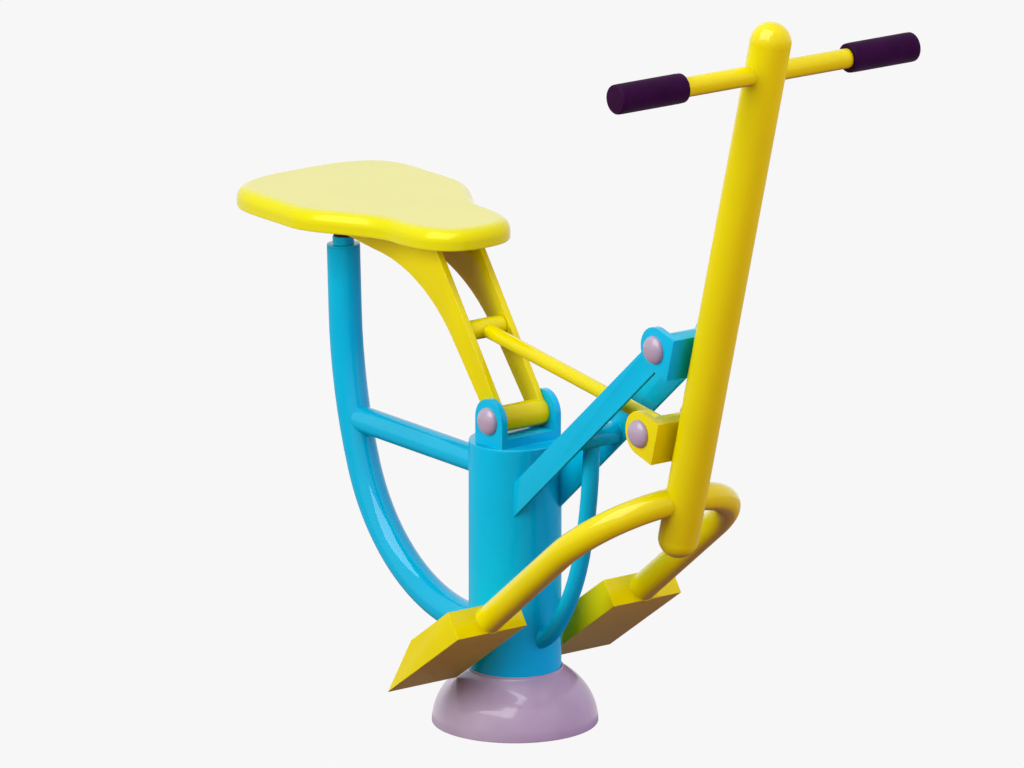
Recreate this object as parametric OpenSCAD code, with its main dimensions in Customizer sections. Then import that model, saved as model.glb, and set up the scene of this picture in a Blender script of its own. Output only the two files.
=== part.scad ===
// Pull-and-push rider for outdoor fitness areas.
// A seat on a swinging arm and a handle lever with foot pedals, joined by a push rod.
// X points the way the rider faces, Y to the rider's left, Z up.
// The origin is on the main post's axis at ground level. All sizes are in millimetres.

/* [Main post] */
// Outside diameter of the main post
post_d = 140; // [120:1:160]
// Wall of the main post
post_wall = 4; // [3:0.5:6]
// Height of the post's top above the ground
post_top = 440; // [425:1:455]
// Thickness of the plate that closes the post
post_cap_t = 8; // [5:1:12]

/* [Base] */
// Diameter of the base flange
flange_d = 216; // [206:1:226]
// Thickness of the base flange
flange_t = 12; // [10:1:16]
// Pitch circle of the anchor holes
anchor_pcd = 178; // [174:1:182]
// Diameter of each anchor hole
anchor_hole_d = 18; // [14:1:20]
// Number of anchor holes
anchor_count = 4; // [4:1:4]
// Height of the gussets between flange and post
gusset_h = 50; // [30:1:60]
// Thickness of the gussets
gusset_t = 8; // [6:1:12]
// Rim diameter of the domed ground cover
cover_d = 252; // [246:1:260]
// Vertical half axis of the domed ground cover
cover_rise = 102; // [96:1:102]
// Height of the short neck at the top of the ground cover
cover_neck = 3.5; // [2:0.5:5]
// Wall of the ground cover
cover_wall = 2.5; // [2:0.5:4]

/* [Pivots] */
// Seat pivot, distance in front of the post's axis
seat_pivot_x = 7.5; // [0:0.5:12]
// Handle pivot, distance in front of the post's axis
handle_pivot_x = 411.4; // [405:0.1:418]
// Handle pivot, height above the ground
handle_pivot_z = 674.1; // [668:0.1:680]
// Link pin, distance behind the seat pivot
link_back = 86; // [80:1:90]
// Link pin, height above the seat pivot
link_up = 117.5; // [112:0.5:122]
// Distance between the two pivots of the handle lever
pivot_spacing = 140; // [136:1:144]
// Lean of the handle lever from the vertical, in degrees
handle_lean = 14.93; // [14:0.01:16]
// Distance from the handle pivots to the handle post's axis
pivot_to_post = 65; // [64:0.5:67]

/* [Clevises] */
// Height of the pin above the outer face of a clevis's base
pin_h = 38; // [37:0.5:40]
// Radius of the round ends of the ears
ear_r = 33.5; // [31:0.5:35]
// Thickness of each ear
ear_t = 10.5; // [9:0.5:12]
// Thickness of a clevis's base plate
clevis_base_t = 15; // [13:0.5:16]
// Width over the two ears
clevis_w = 111; // [109:1:113]

/* [Axles] */
// Diameter of the axle bolts
axle_d = 17; // [15:0.5:18]
// Width across flats of the bolt heads and nuts
hex_af = 24; // [22:1:26]
// Washer diameter
washer_d = 30; // [28:1:32]
// Washer thickness
washer_t = 1.5; // [1:0.25:2]
// Diameter of the domed caps
cap_d = 42; // [40:1:44]
// Height of the domed caps
cap_h = 14; // [13:0.5:16]
// Wall of the domed caps
cap_wall = 1.5; // [1.2:0.1:1.8]
// Outside diameter of a pivot hub
hub_d = 40; // [38:1:42]
// Bore of a pivot hub between its bearings
hub_bore_d = 25; // [22:1:26]
// Gap between a hub and each ear
hub_gap = 0.5; // [0.4:0.1:0.8]
// Outside diameter of the ball bearings
bearing_d = 30; // [29:1:32]
// Width of the ball bearings
bearing_w = 7; // [6:0.5:9]
// Radial running clearance of axles
fit_gap = 0.05; // [0.03:0.01:0.08]

/* [Frame arms] */
// Rise of the arms from the post to the handle pivot, in degrees
arm_rise = 41; // [40:0.5:42]
// Depth of the flat bar
arm_h = 40; // [36:1:42]
// Thickness of the flat bar
arm_t = 6; // [5:0.5:8]
// Gap between an arm and the clevis ear outside it
arm_gap = 1; // [0.6:0.1:1.5]
// Cross tube between the arms, distance in front of the post's axis
cross_x = 196; // [190:1:202]
// Diameter of the cross tube between the arms
cross_d = 34; // [32:1:38]

/* [Front support tube] */
// Distance of its top behind the axis of the cross tube
front_back = 6.7; // [0:0.1:8]
// Diameter of the front support tube
front_d = 25.5; // [24:0.5:28]
// Backward tilt at its top, in degrees
front_tilt = 2.7; // [2:0.1:4]
// Length of its straight top
front_straight = 41; // [36:1:48]
// Radius of its upper bend
front_bend_r1 = 753; // [720:1:790]
// Turn of its upper bend, in degrees
front_turn1 = 11.3; // [11:0.1:12]
// Radius of its lower bend
front_bend_r2 = 347; // [335:1:360]
// Turn of its lower bend, in degrees
front_turn2 = 23; // [22:0.5:24]
// Radius of the tight bend at its foot
front_bend_r3 = 120; // [110:1:130]

/* [Rear support tube] */
// Diameter of the rear support tube
rear_d = 51; // [48:0.5:54]
// Distance of its top behind the post's axis
rear_top_back = 433.6; // [428:0.1:440]
// Height of its top above the ground
rear_top_z = 651; // [640:1:655]
// Forward tilt at its top, in degrees
rear_tilt = 2.1; // [1:0.1:3]
// Length of its straight top
rear_straight = 102; // [96:1:110]
// Radius of its upper bend
rear_bend_r1 = 735; // [720:1:750]
// Turn of its upper bend, in degrees
rear_turn1 = 18.7; // [18:0.1:20]
// Radius of its lower bend
rear_bend_r2 = 285; // [278:1:290]
// Thickness of the plate that closes its top
rear_cap_t = 4; // [3:0.5:6]
// Height of the brace above the ground
brace_z = 387; // [375:1:400]
// Diameter of the brace
brace_d = 41; // [38:0.5:44]
// Wall of the support tubes and the brace
support_wall = 3; // [2:0.5:4]
// Diameter of the stop stub
stub_d = 33; // [30:1:36]
// Height of the stop stub
stub_h = 12; // [10:0.5:14]
// Diameter of the rubber buffer
buffer_d = 30; // [26:1:32]
// Height of the rubber buffer
buffer_h = 8; // [6:0.5:9]

/* [Seat arm] */
// Thickness of the seat plates
plate_t = 10.5; // [9:0.5:12]
// Gap between a seat plate and the clevis ear outside it
plate_gap = 1; // [0.6:0.1:1.5]
// Lean of the front edge of the seat plates from the vertical, in degrees
plate_lean = 35.7; // [35:0.1:37]
// Distance of the front edge from the seat pivot
plate_front = 17.3; // [15:0.1:19]
// Distance of the rear edge from the seat pivot
plate_rear = 16; // [14:0.5:18]
// Radius of the hollow rear edge
plate_hollow_r = 273; // [266:1:276]
// Height of plate left above the hollow
hollow_web = 35; // [30:0.5:45]
// Distance of the hollow from the seat pivot
hollow_gap = 50.8; // [46:0.2:55]
// Distance of the plates' rear ends behind the seat pivot
tail_back = 470; // [460:1:480]
// Height of the plates' rear ends
tail_h = 17; // [14:0.5:20]
// Thickness of the cross straps under the seat
strap_t = 5; // [4:0.5:8]
// Width of the cross straps
strap_w = 40; // [36:1:44]
// Half length of the cross straps
strap_half = 75; // [70:1:80]
// Distances of the two straps behind the seat pivot
strap_back = [200, 385]; // [150:1:400]
// Diameter of the seat screws
screw_d = 8; // [6:1:10]
// Distance of the seat screws from the middle
screw_y = 60; // [56:1:64]

/* [Seat] */
// Height of the seat's underside above the ground
seat_z = 720.5; // [715:0.5:726]
// Thickness of the seat
seat_t = 31.3; // [28:0.1:36]
// Radius of its top edge
seat_edge = 19.7; // [12:0.1:21]
// Radius of its bottom edge
seat_under_edge = 2; // [1:0.5:4]
// Length of the seat
seat_len = 483.4; // [470:0.1:495]
// Distance of the nose behind the post's axis
seat_nose_back = 73.4; // [68:0.1:80]
// Half width of the seat's rear part
seat_half = 160.5; // [155:0.5:166]
// Half width of the nose
nose_half = 90.5; // [86:0.5:95]

/* [Push rod] */
// Diameter of the rod
rod_d = 22; // [20:1:25]
// Wall of the rod and its sleeves
rod_wall = 3; // [2:0.5:4]
// Outside diameter of the rear sleeve
sleeve_d = 30.4; // [29:0.1:33]
// Diameter of the link pin
link_pin_d = 16; // [14:1:17]
// Radial clearance of the link pin in its bushes
link_gap = 0.6; // [0.5:0.1:1]
// Gap between the rear sleeve and each seat plate
sleeve_gap = 0.5; // [0.4:0.1:1]
// Length of each link bush
bush_len = 16; // [12:1:20]

/* [Handle lever] */
// Diameter of the handle post
lever_d = 61; // [58:1:66]
// Wall of the handle post
lever_wall = 3; // [2.5:0.5:4]
// Length of the post above the handle pivot, to the centre of its top dome
lever_up = 526.5; // [515:0.5:540]
// Length of the post below the handle pivot, to the centre of its bottom dome
lever_down = 291; // [285:0.5:300]
// Height of the handlebar above the handle pivot, along the post
bar_up = 477.3; // [460:0.1:485]
// Diameter of the handlebar
bar_d = 29.5; // [27:0.5:34]
// Wall of the handlebar
bar_wall = 2.5; // [2:0.5:4]
// Length over the two grips
bar_len = 549; // [520:1:600]
// Diameter of the grips
grip_d = 44; // [41:0.5:48]
// Length of each grip
grip_len = 122; // [110:1:140]
// Thickness of the grips' closed ends
grip_end_t = 4; // [3:0.5:6]

/* [Foot bars and pedals] */
// Diameter of the foot bars
foot_bar_d = 42; // [40:0.5:44]
// Wall of the foot bars
foot_bar_wall = 3; // [2.5:0.5:4]
// Distance of the foot bars below the handle pivot, along the post
foot_bar_down = 232.2; // [226:0.1:238]
// Distance of the foot bars behind the handle post's axis
foot_bar_back = 9; // [8:0.5:10]
// Radius of the bend of each foot bar
foot_bend_r = 137; // [130:1:140]
// Slope of the foot bars, in degrees
foot_slope = 38.7; // [38:0.1:39.4]
// Distance of each foot bar's rear part from the middle
foot_y = 145.5; // [144:0.5:149]
// Front face of the pedals, distance in front of the post's axis
pedal_front_x = 124.75; // [122:0.25:128]
// Middle of the front face of the pedals, height above the ground
pedal_front_z = 212.8; // [211:0.1:220]
// Slope of the pedals, in degrees
pedal_slope = 35; // [34:0.5:35.5]
// Distance of the middle of each pedal from the middle of the machine
pedal_y = 146.4; // [146:0.1:150]
// Width of each pedal
pedal_w = 129; // [120:0.5:129.5]
// Thickness of the pedals at their front
pedal_h = 44.4; // [42:0.1:46]
// Length of the pedals' flat top
pedal_top_len = 112.6; // [108:0.1:118]
// Length of the pedals' underside
pedal_len = 214.5; // [205:0.5:215]
// Sheet thickness of the pedals
pedal_wall = 3; // [2:0.5:4]

/* [Hidden] */
$fn = 64;

blue = "deepskyblue";
yellow = "gold";
mauve = "thistle";
steel = "silver";
dark = "#2a1230";

// Overrun of every cutting body
over = 1;
// Difference in diameter and lap of neighbouring stretches of a bent tube
seam = 0.1;
seam_lap = 1;

// Places worked out from the driving sizes
post_r = post_d / 2;
seat_pivot_z = post_top + pin_h;
link_x = seat_pivot_x - link_back;
link_z = seat_pivot_z + link_up;
ear_in = clevis_w / 2 - ear_t;
hub_half = ear_in - hub_gap;
arm_out = ear_in - arm_gap;
arm_in = arm_out - arm_t;
plate_out = ear_in - plate_gap;
plate_in = plate_out - plate_t;
lower_pivot_x = handle_pivot_x - pivot_spacing * sin(handle_lean);
lower_pivot_z = handle_pivot_z - pivot_spacing * cos(handle_lean);
cross_z = handle_pivot_z - (handle_pivot_x - cross_x) * tan(arm_rise);
rear_turn2 = 90 - rear_tilt - rear_turn1;
brace_reach_share = 0.93;
// Outline of the seat: ends of its rounded nose and tail and of its waist, along its length
nose_share = 0.24;
waist_share = 0.234;
hip_share = 0.579;
tail_share = 0.267;
nose_power = 2.5;
tail_power = 3;
seat_steps = 40;
edge_steps = 5;
strap_z = seat_z - strap_t;
cover_gap = 6 * fit_gap;
screw_head_h = screw_d / 2;
screw_bite = 1.5 * screw_d;
ear_bore_d = axle_d + 2 * fit_gap;
// Room under a domed cap above the corners of a bolt head or nut
hex_r = hex_af / 2 / cos(30);
cap_in_r = cap_d / 2 - cap_wall;
cap_in_h = cap_h - cap_wall;
cap_room = cap_in_h * sqrt(1 - pow(hex_r / cap_in_r, 2));
hex_h = cap_room - washer_t - 4 * fit_gap;
back_reach = 2 * pedal_len;
// Side view of a pedal, from the middle of its front face
pedal_points = [[0, -pedal_h / 2], [-pedal_len, -pedal_h / 2],
    [-pedal_len + pedal_wall / 3, -pedal_h / 2 + pedal_wall / 3],
    [-pedal_top_len, pedal_h / 2], [0, pedal_h / 2]];
rod_run = [lower_pivot_x - link_x, lower_pivot_z - link_z];
rod_len = norm(rod_run);
rod_dip = atan2(-rod_run[1], rod_run[0]);

// Hollow round tube along +Z
module pipe(len, d, wall) {
    difference() {
        cylinder(h = len, d = d);
        translate([0, 0, -over])
            cylinder(h = len + 2 * over, d = d - 2 * wall);
    }
}

// Round bar across the machine, from one side to the other
module across(d, half) {
    rotate([90, 0, 0])
        cylinder(h = 2 * half, d = d, center = true);
}

// One bend that starts a short lap before the origin, runs along +Z and turns towards +X
module bend(radius, turn, d, wall, lap) {
    lap_turn = lap / radius * 180 / PI;
    translate([radius, 0, 0])
        mirror([1, 0, 0])
            rotate([90, 0, 0])
                rotate([0, 0, -lap_turn])
                    rotate_extrude(angle = turn + lap_turn)
                        translate([radius, 0])
                            difference() {
                                circle(d = d);
                                if (wall > 0) {
                                    circle(d = d - 2 * wall);
                                }
                            }
}

// Bent tube from steps of [length, 0] for a straight and [radius, turn] for a bend.
// Neighbouring stretches lap and differ a little in diameter, so they join as one solid.
module bent_tube(steps, d, wall, i = 0) {
    if (i < len(steps)) {
        size = steps[i][0];
        turn = steps[i][1];
        here_d = d - (i % 2) * seam;
        lap = i > 0 ? seam_lap : 0;
        if (turn == 0) {
            translate([0, 0, -lap]) {
                if (wall > 0) {
                    pipe(size + lap, here_d, wall);
                } else {
                    cylinder(h = size + lap, d = here_d);
                }
            }
            translate([0, 0, size])
                bent_tube(steps, d, wall, i + 1);
        } else {
            bend(size, turn, here_d, wall, lap);
            translate([size * (1 - cos(turn)), 0, size * sin(turn)])
                rotate([0, turn, 0])
                    bent_tube(steps, d, wall, i + 1);
        }
    }
}

// Solid of the main post, used to trim what is welded to it
module post_solid() {
    cylinder(h = post_top, d = post_d);
}

// Frames of the three pivots. The handle frame leans with the lever.
module at_seat_pivot() {
    translate([seat_pivot_x, 0, seat_pivot_z])
        children();
}

module at_handle_pivot() {
    translate([handle_pivot_x, 0, handle_pivot_z])
        rotate([0, handle_lean, 0])
            children();
}

module at_lower_pivot() {
    at_handle_pivot()
        translate([0, 0, -pivot_spacing])
            children();
}

module on_lever_axis() {
    at_handle_pivot()
        translate([pivot_to_post, 0, 0])
            children();
}

module lever_solid() {
    on_lever_axis()
        translate([0, 0, -lever_down])
            cylinder(h = lever_down + lever_up, d = lever_d);
}

// Clevis with its pin axis on Y at the origin and its base below
module clevis() {
    difference() {
        union() {
            translate([-ear_r, -clevis_w / 2, -pin_h])
                cube([2 * ear_r, clevis_w, clevis_base_t]);
            for (side = [-1, 1]) {
                translate([0, side * (clevis_w / 2 - ear_t / 2), 0]) {
                    across(2 * ear_r, ear_t / 2);
                    translate([-ear_r, -ear_t / 2, -pin_h])
                        cube([2 * ear_r, ear_t, pin_h]);
                }
            }
        }
        across(ear_bore_d, clevis_w / 2 + over);
    }
}

// Tube that turns on an axle, with a seat for a bearing at each end
module pivot_hub() {
    difference() {
        across(hub_d, hub_half);
        across(hub_bore_d, hub_half + over);
        for (side = [-1, 1]) {
            translate([0, side * hub_half, 0])
                across(bearing_d, bearing_w);
        }
    }
}

module bearing_pair() {
    lip = (bearing_d - axle_d) / 8;
    recess = bearing_w / 12;
    for (side = [-1, 1]) {
        translate([0, side * (hub_half - bearing_w / 2), 0])
            rotate([90, 0, 0])
                difference() {
                    cylinder(h = bearing_w, d = bearing_d, center = true);
                    cylinder(h = bearing_w + 2 * over, d = ear_bore_d, center = true);
                    for (face = [-1, 1]) {
                        translate([0, 0, face * bearing_w / 2])
                            difference() {
                                cylinder(h = 2 * recess, d = bearing_d - 2 * lip, center = true);
                                cylinder(h = 4 * recess, d = axle_d + 2 * lip, center = true);
                            }
                    }
                }
    }
}

// Bolt through a clevis, head on the rider's right
module axle_bolt() {
    bolt_end = clevis_w / 2 + washer_t + hex_h;
    translate([0, -clevis_w / 2, 0])
        rotate([-90, 0, 0])
            cylinder(h = clevis_w / 2 + bolt_end, d = axle_d);
    translate([0, -clevis_w / 2, 0])
        rotate([90, 0, 0])
            cylinder(h = hex_h, r = hex_r, $fn = 6);
}

// Washer and nut on the rider's left
module axle_nut() {
    difference() {
        union() {
            translate([0, clevis_w / 2, 0])
                rotate([-90, 0, 0])
                    cylinder(h = washer_t, d = washer_d);
            translate([0, clevis_w / 2 + washer_t, 0])
                rotate([-90, 0, 0])
                    cylinder(h = hex_h, r = hex_r, $fn = 6);
        }
        across(ear_bore_d, clevis_w);
    }
}

// Outline of a domed cap from its rim to its top
function dome_points(r, h, steps = 12) =
    [for (i = [0 : steps]) [r * cos(90 * i / steps), h * sin(90 * i / steps)]];

module axle_caps() {
    for (side = [-1, 1]) {
        translate([0, side * clevis_w / 2, 0])
            rotate([-90 * side, 0, 0])
                rotate_extrude()
                    difference() {
                        polygon(concat([[0, 0]], dome_points(cap_d / 2, cap_h)));
                        polygon(concat([[0, 0]], dome_points(cap_in_r, cap_in_h)));
                    }
    }
}

// Fixed frame

module base_flange() {
    color(blue)
        difference() {
            cylinder(h = flange_t, d = flange_d);
            for (i = [0 : anchor_count - 1]) {
                rotate([0, 0, (i + 0.5) * 360 / anchor_count])
                    translate([anchor_pcd / 2, 0, -over])
                        cylinder(h = flange_t + 2 * over, d = anchor_hole_d);
            }
        }
}

module base_gussets() {
    reach = (flange_d - post_d) / 2 * 0.85;
    color(blue)
        for (i = [0 : anchor_count - 1]) {
            rotate([0, 0, i * 360 / anchor_count])
                difference() {
                    translate([0, gusset_t / 2, flange_t])
                        rotate([90, 0, 0])
                            linear_extrude(gusset_t)
                                polygon([[post_r / 2, 0], [post_r + reach, 0],
                                    [post_r + reach / 4, gusset_h], [post_r / 2, gusset_h]]);
                    post_solid();
                }
        }
}

module ground_cover() {
    inner_r = cover_d / 2 - cover_wall;
    inner_h = cover_rise - cover_wall;
    hole_r = post_r + cover_gap;
    neck_r = hole_r + cover_wall;
    neck_z = cover_rise * sqrt(1 - pow(neck_r / (cover_d / 2), 2));
    color(mauve)
        rotate_extrude()
            difference() {
                union() {
                    polygon(concat([[0, 0]], dome_points(cover_d / 2, cover_rise, 24)));
                    square([neck_r, neck_z + cover_neck]);
                }
                polygon(concat([[0, 0]], dome_points(inner_r, inner_h, 24)));
                square([hole_r, 2 * cover_rise]);
            }
}

module main_post() {
    color(blue)
        translate([0, 0, flange_t])
            pipe(post_top - post_cap_t - flange_t, post_d, post_wall);
}

module post_cap() {
    color(blue)
        translate([0, 0, post_top - post_cap_t])
            cylinder(h = post_cap_t, d = post_d);
}

module post_clevis() {
    color(blue)
        at_seat_pivot()
            clevis();
}

// Flat bar from the post to the handle pivot, on one side
module frame_arm(side) {
    reach = (handle_pivot_x - post_r / 2) / cos(arm_rise);
    tip = arm_h / 5;
    color(blue)
        difference() {
            translate([handle_pivot_x, side * (arm_in + arm_t / 2), handle_pivot_z])
                rotate([0, -arm_rise, 0])
                    translate([-reach, -arm_t / 2, -arm_h / 2])
                        cube([reach - tip, arm_t, arm_h]);
            post_solid();
            translate([handle_pivot_x, 0, handle_pivot_z])
                across(hub_d, clevis_w);
        }
}

module arm_cross_tube() {
    color(blue)
        translate([cross_x, arm_in, cross_z])
            rotate([90, 0, 0])
                pipe(2 * arm_in, cross_d, support_wall);
}

module front_support_tube() {
    steps = [[front_straight, 0], [front_bend_r1, front_turn1], [front_bend_r2, front_turn2],
        [front_bend_r3, 90 - front_tilt - front_turn1 - front_turn2]];
    color(blue)
        difference() {
            translate([cross_x - front_back, 0, cross_z])
                rotate([0, 180 + front_tilt, 0])
                    bent_tube(steps, front_d, support_wall);
            post_solid();
            translate([cross_x, 0, cross_z])
                across(cross_d, arm_in);
        }
}

// Rear support tube, hollow, or solid when wall is zero
module rear_run(wall) {
    steps = [[rear_straight, 0], [rear_bend_r1, rear_turn1], [rear_bend_r2, rear_turn2],
        [1.6 * post_r, 0]];
    translate([-rear_top_back, 0, rear_top_z])
        rotate([0, 180 - rear_tilt, 0])
            mirror([1, 0, 0])
                bent_tube(steps, rear_d, wall);
}

module at_rear_top() {
    translate([-rear_top_back, 0, rear_top_z])
        rotate([0, -rear_tilt, 0])
            children();
}

module rear_support_tube() {
    color(blue)
        difference() {
            rear_run(support_wall);
            post_solid();
        }
}

module rear_tube_cap() {
    color(blue)
        at_rear_top()
            cylinder(h = rear_cap_t, d = rear_d);
}

module rear_brace() {
    reach = rear_top_back * brace_reach_share;
    color(blue)
        difference() {
            translate([-reach, 0, brace_z])
                rotate([0, 90, 0])
                    pipe(reach, brace_d, support_wall);
            post_solid();
            rear_run(0);
        }
}

module stop_stub() {
    color(blue)
        at_rear_top()
            translate([0, 0, rear_cap_t])
                cylinder(h = stub_h, d = stub_d);
}

module stop_buffer() {
    color(dark)
        at_rear_top()
            translate([0, 0, rear_cap_t + stub_h])
                intersection() {
                    cylinder(h = buffer_h, d = buffer_d);
                    translate([0, 0, buffer_h - buffer_d])
                        sphere(d = 2 * buffer_d);
                }
}

module upper_pivot_hub() {
    color(blue)
        translate([handle_pivot_x, 0, handle_pivot_z])
            pivot_hub();
}

module upper_bearings() {
    color(steel)
        translate([handle_pivot_x, 0, handle_pivot_z])
            bearing_pair();
}

module seat_axle_bolt() {
    color(steel)
        at_seat_pivot()
            axle_bolt();
}

module seat_axle_nut() {
    color(steel)
        at_seat_pivot()
            axle_nut();
}

module seat_axle_caps() {
    color(mauve)
        at_seat_pivot()
            axle_caps();
}

// Seat arm

module seat_hub() {
    color(yellow)
        at_seat_pivot()
            pivot_hub();
}

module seat_bearings() {
    color(steel)
        at_seat_pivot()
            bearing_pair();
}

// Side view of a seat plate, measured from the seat pivot
module plate_outline() {
    along = [-sin(plate_lean), cos(plate_lean)];
    out = [cos(plate_lean), sin(plate_lean)];
    top = strap_z - seat_pivot_z;
    front_low = plate_front * out;
    front_top = front_low + along * (top - front_low[1]) / along[1];
    hollow_z = top - hollow_web - plate_hollow_r;
    hollow = [-sqrt(pow(plate_hollow_r + hollow_gap, 2) - pow(hollow_z, 2)), hollow_z];
    rear_low = [-plate_rear * 0.777, -plate_rear * 0.63];
    // The rear edge leaves the hollow where a straight from the pivot touches it
    meet = atan2(rear_low[1] - hollow[1], rear_low[0] - hollow[0])
        + acos(plate_hollow_r / norm(rear_low - hollow));
    rear_mid = hollow + plate_hollow_r * [cos(meet), sin(meet)];
    crest = hollow + plate_hollow_r * [cos(86), sin(86)];
    difference() {
        polygon([rear_low, rear_mid, crest, [-tail_back, top - tail_h], [-tail_back, top],
            front_top, front_low]);
        translate(hollow)
            circle(r = plate_hollow_r, $fn = 180);
    }
}

module seat_plate(side) {
    color(yellow)
        difference() {
            at_seat_pivot()
                translate([0, side * plate_in + (side > 0 ? plate_t : 0), 0])
                    rotate([90, 0, 0])
                        linear_extrude(plate_t)
                            plate_outline();
            at_seat_pivot()
                across(hub_d, clevis_w);
            translate([link_x, 0, link_z])
                across(link_pin_d + 2 * fit_gap, clevis_w);
        }
}

module seat_straps() {
    color(yellow)
        difference() {
            for (back = strap_back) {
                translate([seat_pivot_x - back - strap_w / 2, -strap_half, strap_z])
                    cube([strap_w, 2 * strap_half, strap_t]);
            }
            for (back = strap_back, side = [-1, 1]) {
                translate([seat_pivot_x - back, side * screw_y, strap_z - over])
                    cylinder(h = strap_t + 2 * over, d = screw_d + 2 * fit_gap);
            }
        }
}

module seat_screws() {
    color(steel)
        for (back = strap_back, side = [-1, 1]) {
            translate([seat_pivot_x - back, side * screw_y, strap_z]) {
                translate([0, 0, -screw_head_h])
                    cylinder(h = screw_head_h, d = 2 * screw_d);
                cylinder(h = strap_t + screw_bite, d = screw_d);
            }
        }
}

// Half width of the seat at a distance behind its nose
function blend(u) = u <= 0 ? 0 : u >= 1 ? 1 : u * u * (3 - 2 * u);
function seat_body(s) =
    let (u = (s / seat_len - waist_share) / (hip_share - waist_share))
    nose_half + (seat_half - nose_half) * blend(u);
function round_off(u, p) = u <= 0 ? 1 : u >= 1 ? 0 : pow(1 - pow(u, p), 1 / p);
function seat_width(s) = seat_body(s)
    * round_off(1 - s / seat_len / nose_share, nose_power)
    * round_off(1 - (1 - s / seat_len) / tail_share, tail_power);

// Steps are close together at both ends, where the outline turns fast
function seat_s(i) = seat_len * (1 - cos(180 * i / seat_steps)) / 2;
function seat_at(i) = i <= seat_steps
    ? [-seat_nose_back - seat_s(i), seat_width(seat_s(i))]
    : [-seat_nose_back - seat_s(2 * seat_steps - i), -seat_width(seat_s(2 * seat_steps - i))];
function unit(v) = v / norm(v);
function seat_inward(i) =
    let (d = unit(seat_at((i + 1) % (2 * seat_steps))
        - seat_at((i + 2 * seat_steps - 1) % (2 * seat_steps))))
    [-d[1], d[0]];

// Rings of the seat from its underside to its top, as [inset, height]
function seat_rings() = concat(
    [[seat_under_edge, 0], [0, seat_under_edge]],
    [for (k = [0 : edge_steps])
        [seat_edge * (1 - cos(90 * k / edge_steps)),
            seat_t - seat_edge + seat_edge * sin(90 * k / edge_steps)]]);

module seat() {
    n = 2 * seat_steps;
    rings = seat_rings();
    points = [for (ring = rings, i = [0 : n - 1])
        let (p = seat_at(i) + ring[0] * seat_inward(i))
        [p[0], p[1], seat_z + ring[1]]];
    last = len(rings) - 1;
    walls = [for (k = [0 : last - 1], i = [0 : n - 1])
        let (j = (i + 1) % n)
        each [[k * n + i, (k + 1) * n + i, (k + 1) * n + j], [k * n + i, (k + 1) * n + j, k * n + j]]];
    // The lids are strips between the two long sides
    lids = [for (i = [0 : seat_steps - 1])
        let (a = i, b = i + 1, c = (n - i - 1) % n, d = (n - i) % n)
        each concat(
            i == 0 ? [[a, b, c]] : c == b ? [[a, b, d]] : [[a, b, c], [a, c, d]],
            i == 0 ? [[last * n + a, last * n + c, last * n + b]]
                : c == b ? [[last * n + a, last * n + d, last * n + b]]
                : [[last * n + a, last * n + c, last * n + b],
                    [last * n + a, last * n + d, last * n + c]])];
    color(yellow)
        difference() {
            polyhedron(points = points, faces = concat(walls, lids), convexity = 4);
            for (back = strap_back, side = [-1, 1]) {
                translate([seat_pivot_x - back, side * screw_y, seat_z - over])
                    cylinder(h = over + screw_bite + fit_gap, d = screw_d + 2 * fit_gap);
            }
        }
}

module link_pin() {
    color(steel)
        translate([link_x, 0, link_z])
            across(link_pin_d, plate_out);
}

// Push rod

module at_rod() {
    translate([link_x, 0, link_z])
        rotate([0, 90 + rod_dip, 0])
            children();
}

module push_rod() {
    color(yellow)
        difference() {
            at_rod()
                pipe(rod_len, rod_d, rod_wall);
            translate([link_x, 0, link_z])
                across(sleeve_d, hub_half);
            at_lower_pivot()
                across(hub_d, hub_half);
        }
}

module rod_rear_sleeve() {
    half = plate_in - sleeve_gap;
    color(yellow)
        translate([link_x, half, link_z])
            rotate([90, 0, 0])
                pipe(2 * half, sleeve_d, rod_wall);
}

module link_bushes() {
    half = plate_in - sleeve_gap;
    bush_d = sleeve_d - 2 * rod_wall;
    color(dark)
        for (side = [-1, 1]) {
            translate([link_x, side * (half - bush_len / 2) + bush_len / 2, link_z])
                rotate([90, 0, 0])
                    pipe(bush_len, bush_d, (bush_d - link_pin_d) / 2 - link_gap);
        }
}

module rod_front_hub() {
    color(yellow)
        at_lower_pivot()
            pivot_hub();
}

module rod_bearings() {
    color(steel)
        at_lower_pivot()
            bearing_pair();
}

// Handle lever

module handle_post() {
    color(yellow)
        difference() {
            on_lever_axis()
                translate([0, 0, -lever_down])
                    pipe(lever_down + lever_up, lever_d, lever_wall);
            on_lever_axis()
                translate([0, 0, bar_up])
                    across(bar_d + 2 * fit_gap, lever_d);
        }
}

module post_dome() {
    rotate_extrude()
        intersection() {
            difference() {
                circle(d = lever_d);
                circle(d = lever_d - 2 * lever_wall);
            }
            square([lever_d, lever_d]);
        }
}

module post_top_dome() {
    color(yellow)
        on_lever_axis()
            translate([0, 0, lever_up])
                post_dome();
}

module post_bottom_dome() {
    color(yellow)
        on_lever_axis()
            translate([0, 0, -lever_down])
                rotate([180, 0, 0])
                    post_dome();
}

// Clevis turned so that its base lies on the back of the handle post
module lever_clevis() {
    rotate([0, -90, 0])
        clevis();
}

module upper_clevis() {
    color(blue)
        difference() {
            at_handle_pivot()
                lever_clevis();
            lever_solid();
        }
}

module lower_clevis() {
    color(yellow)
        difference() {
            at_lower_pivot()
                lever_clevis();
            lever_solid();
        }
}

module upper_axle_bolt() {
    color(steel)
        at_handle_pivot()
            axle_bolt();
}

module upper_axle_nut() {
    color(steel)
        at_handle_pivot()
            axle_nut();
}

module upper_axle_caps() {
    color(mauve)
        at_handle_pivot()
            axle_caps();
}

module lower_axle_bolt() {
    color(steel)
        at_lower_pivot()
            axle_bolt();
}

module lower_axle_nut() {
    color(steel)
        at_lower_pivot()
            axle_nut();
}

module lower_axle_caps() {
    color(mauve)
        at_lower_pivot()
            axle_caps();
}

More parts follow.
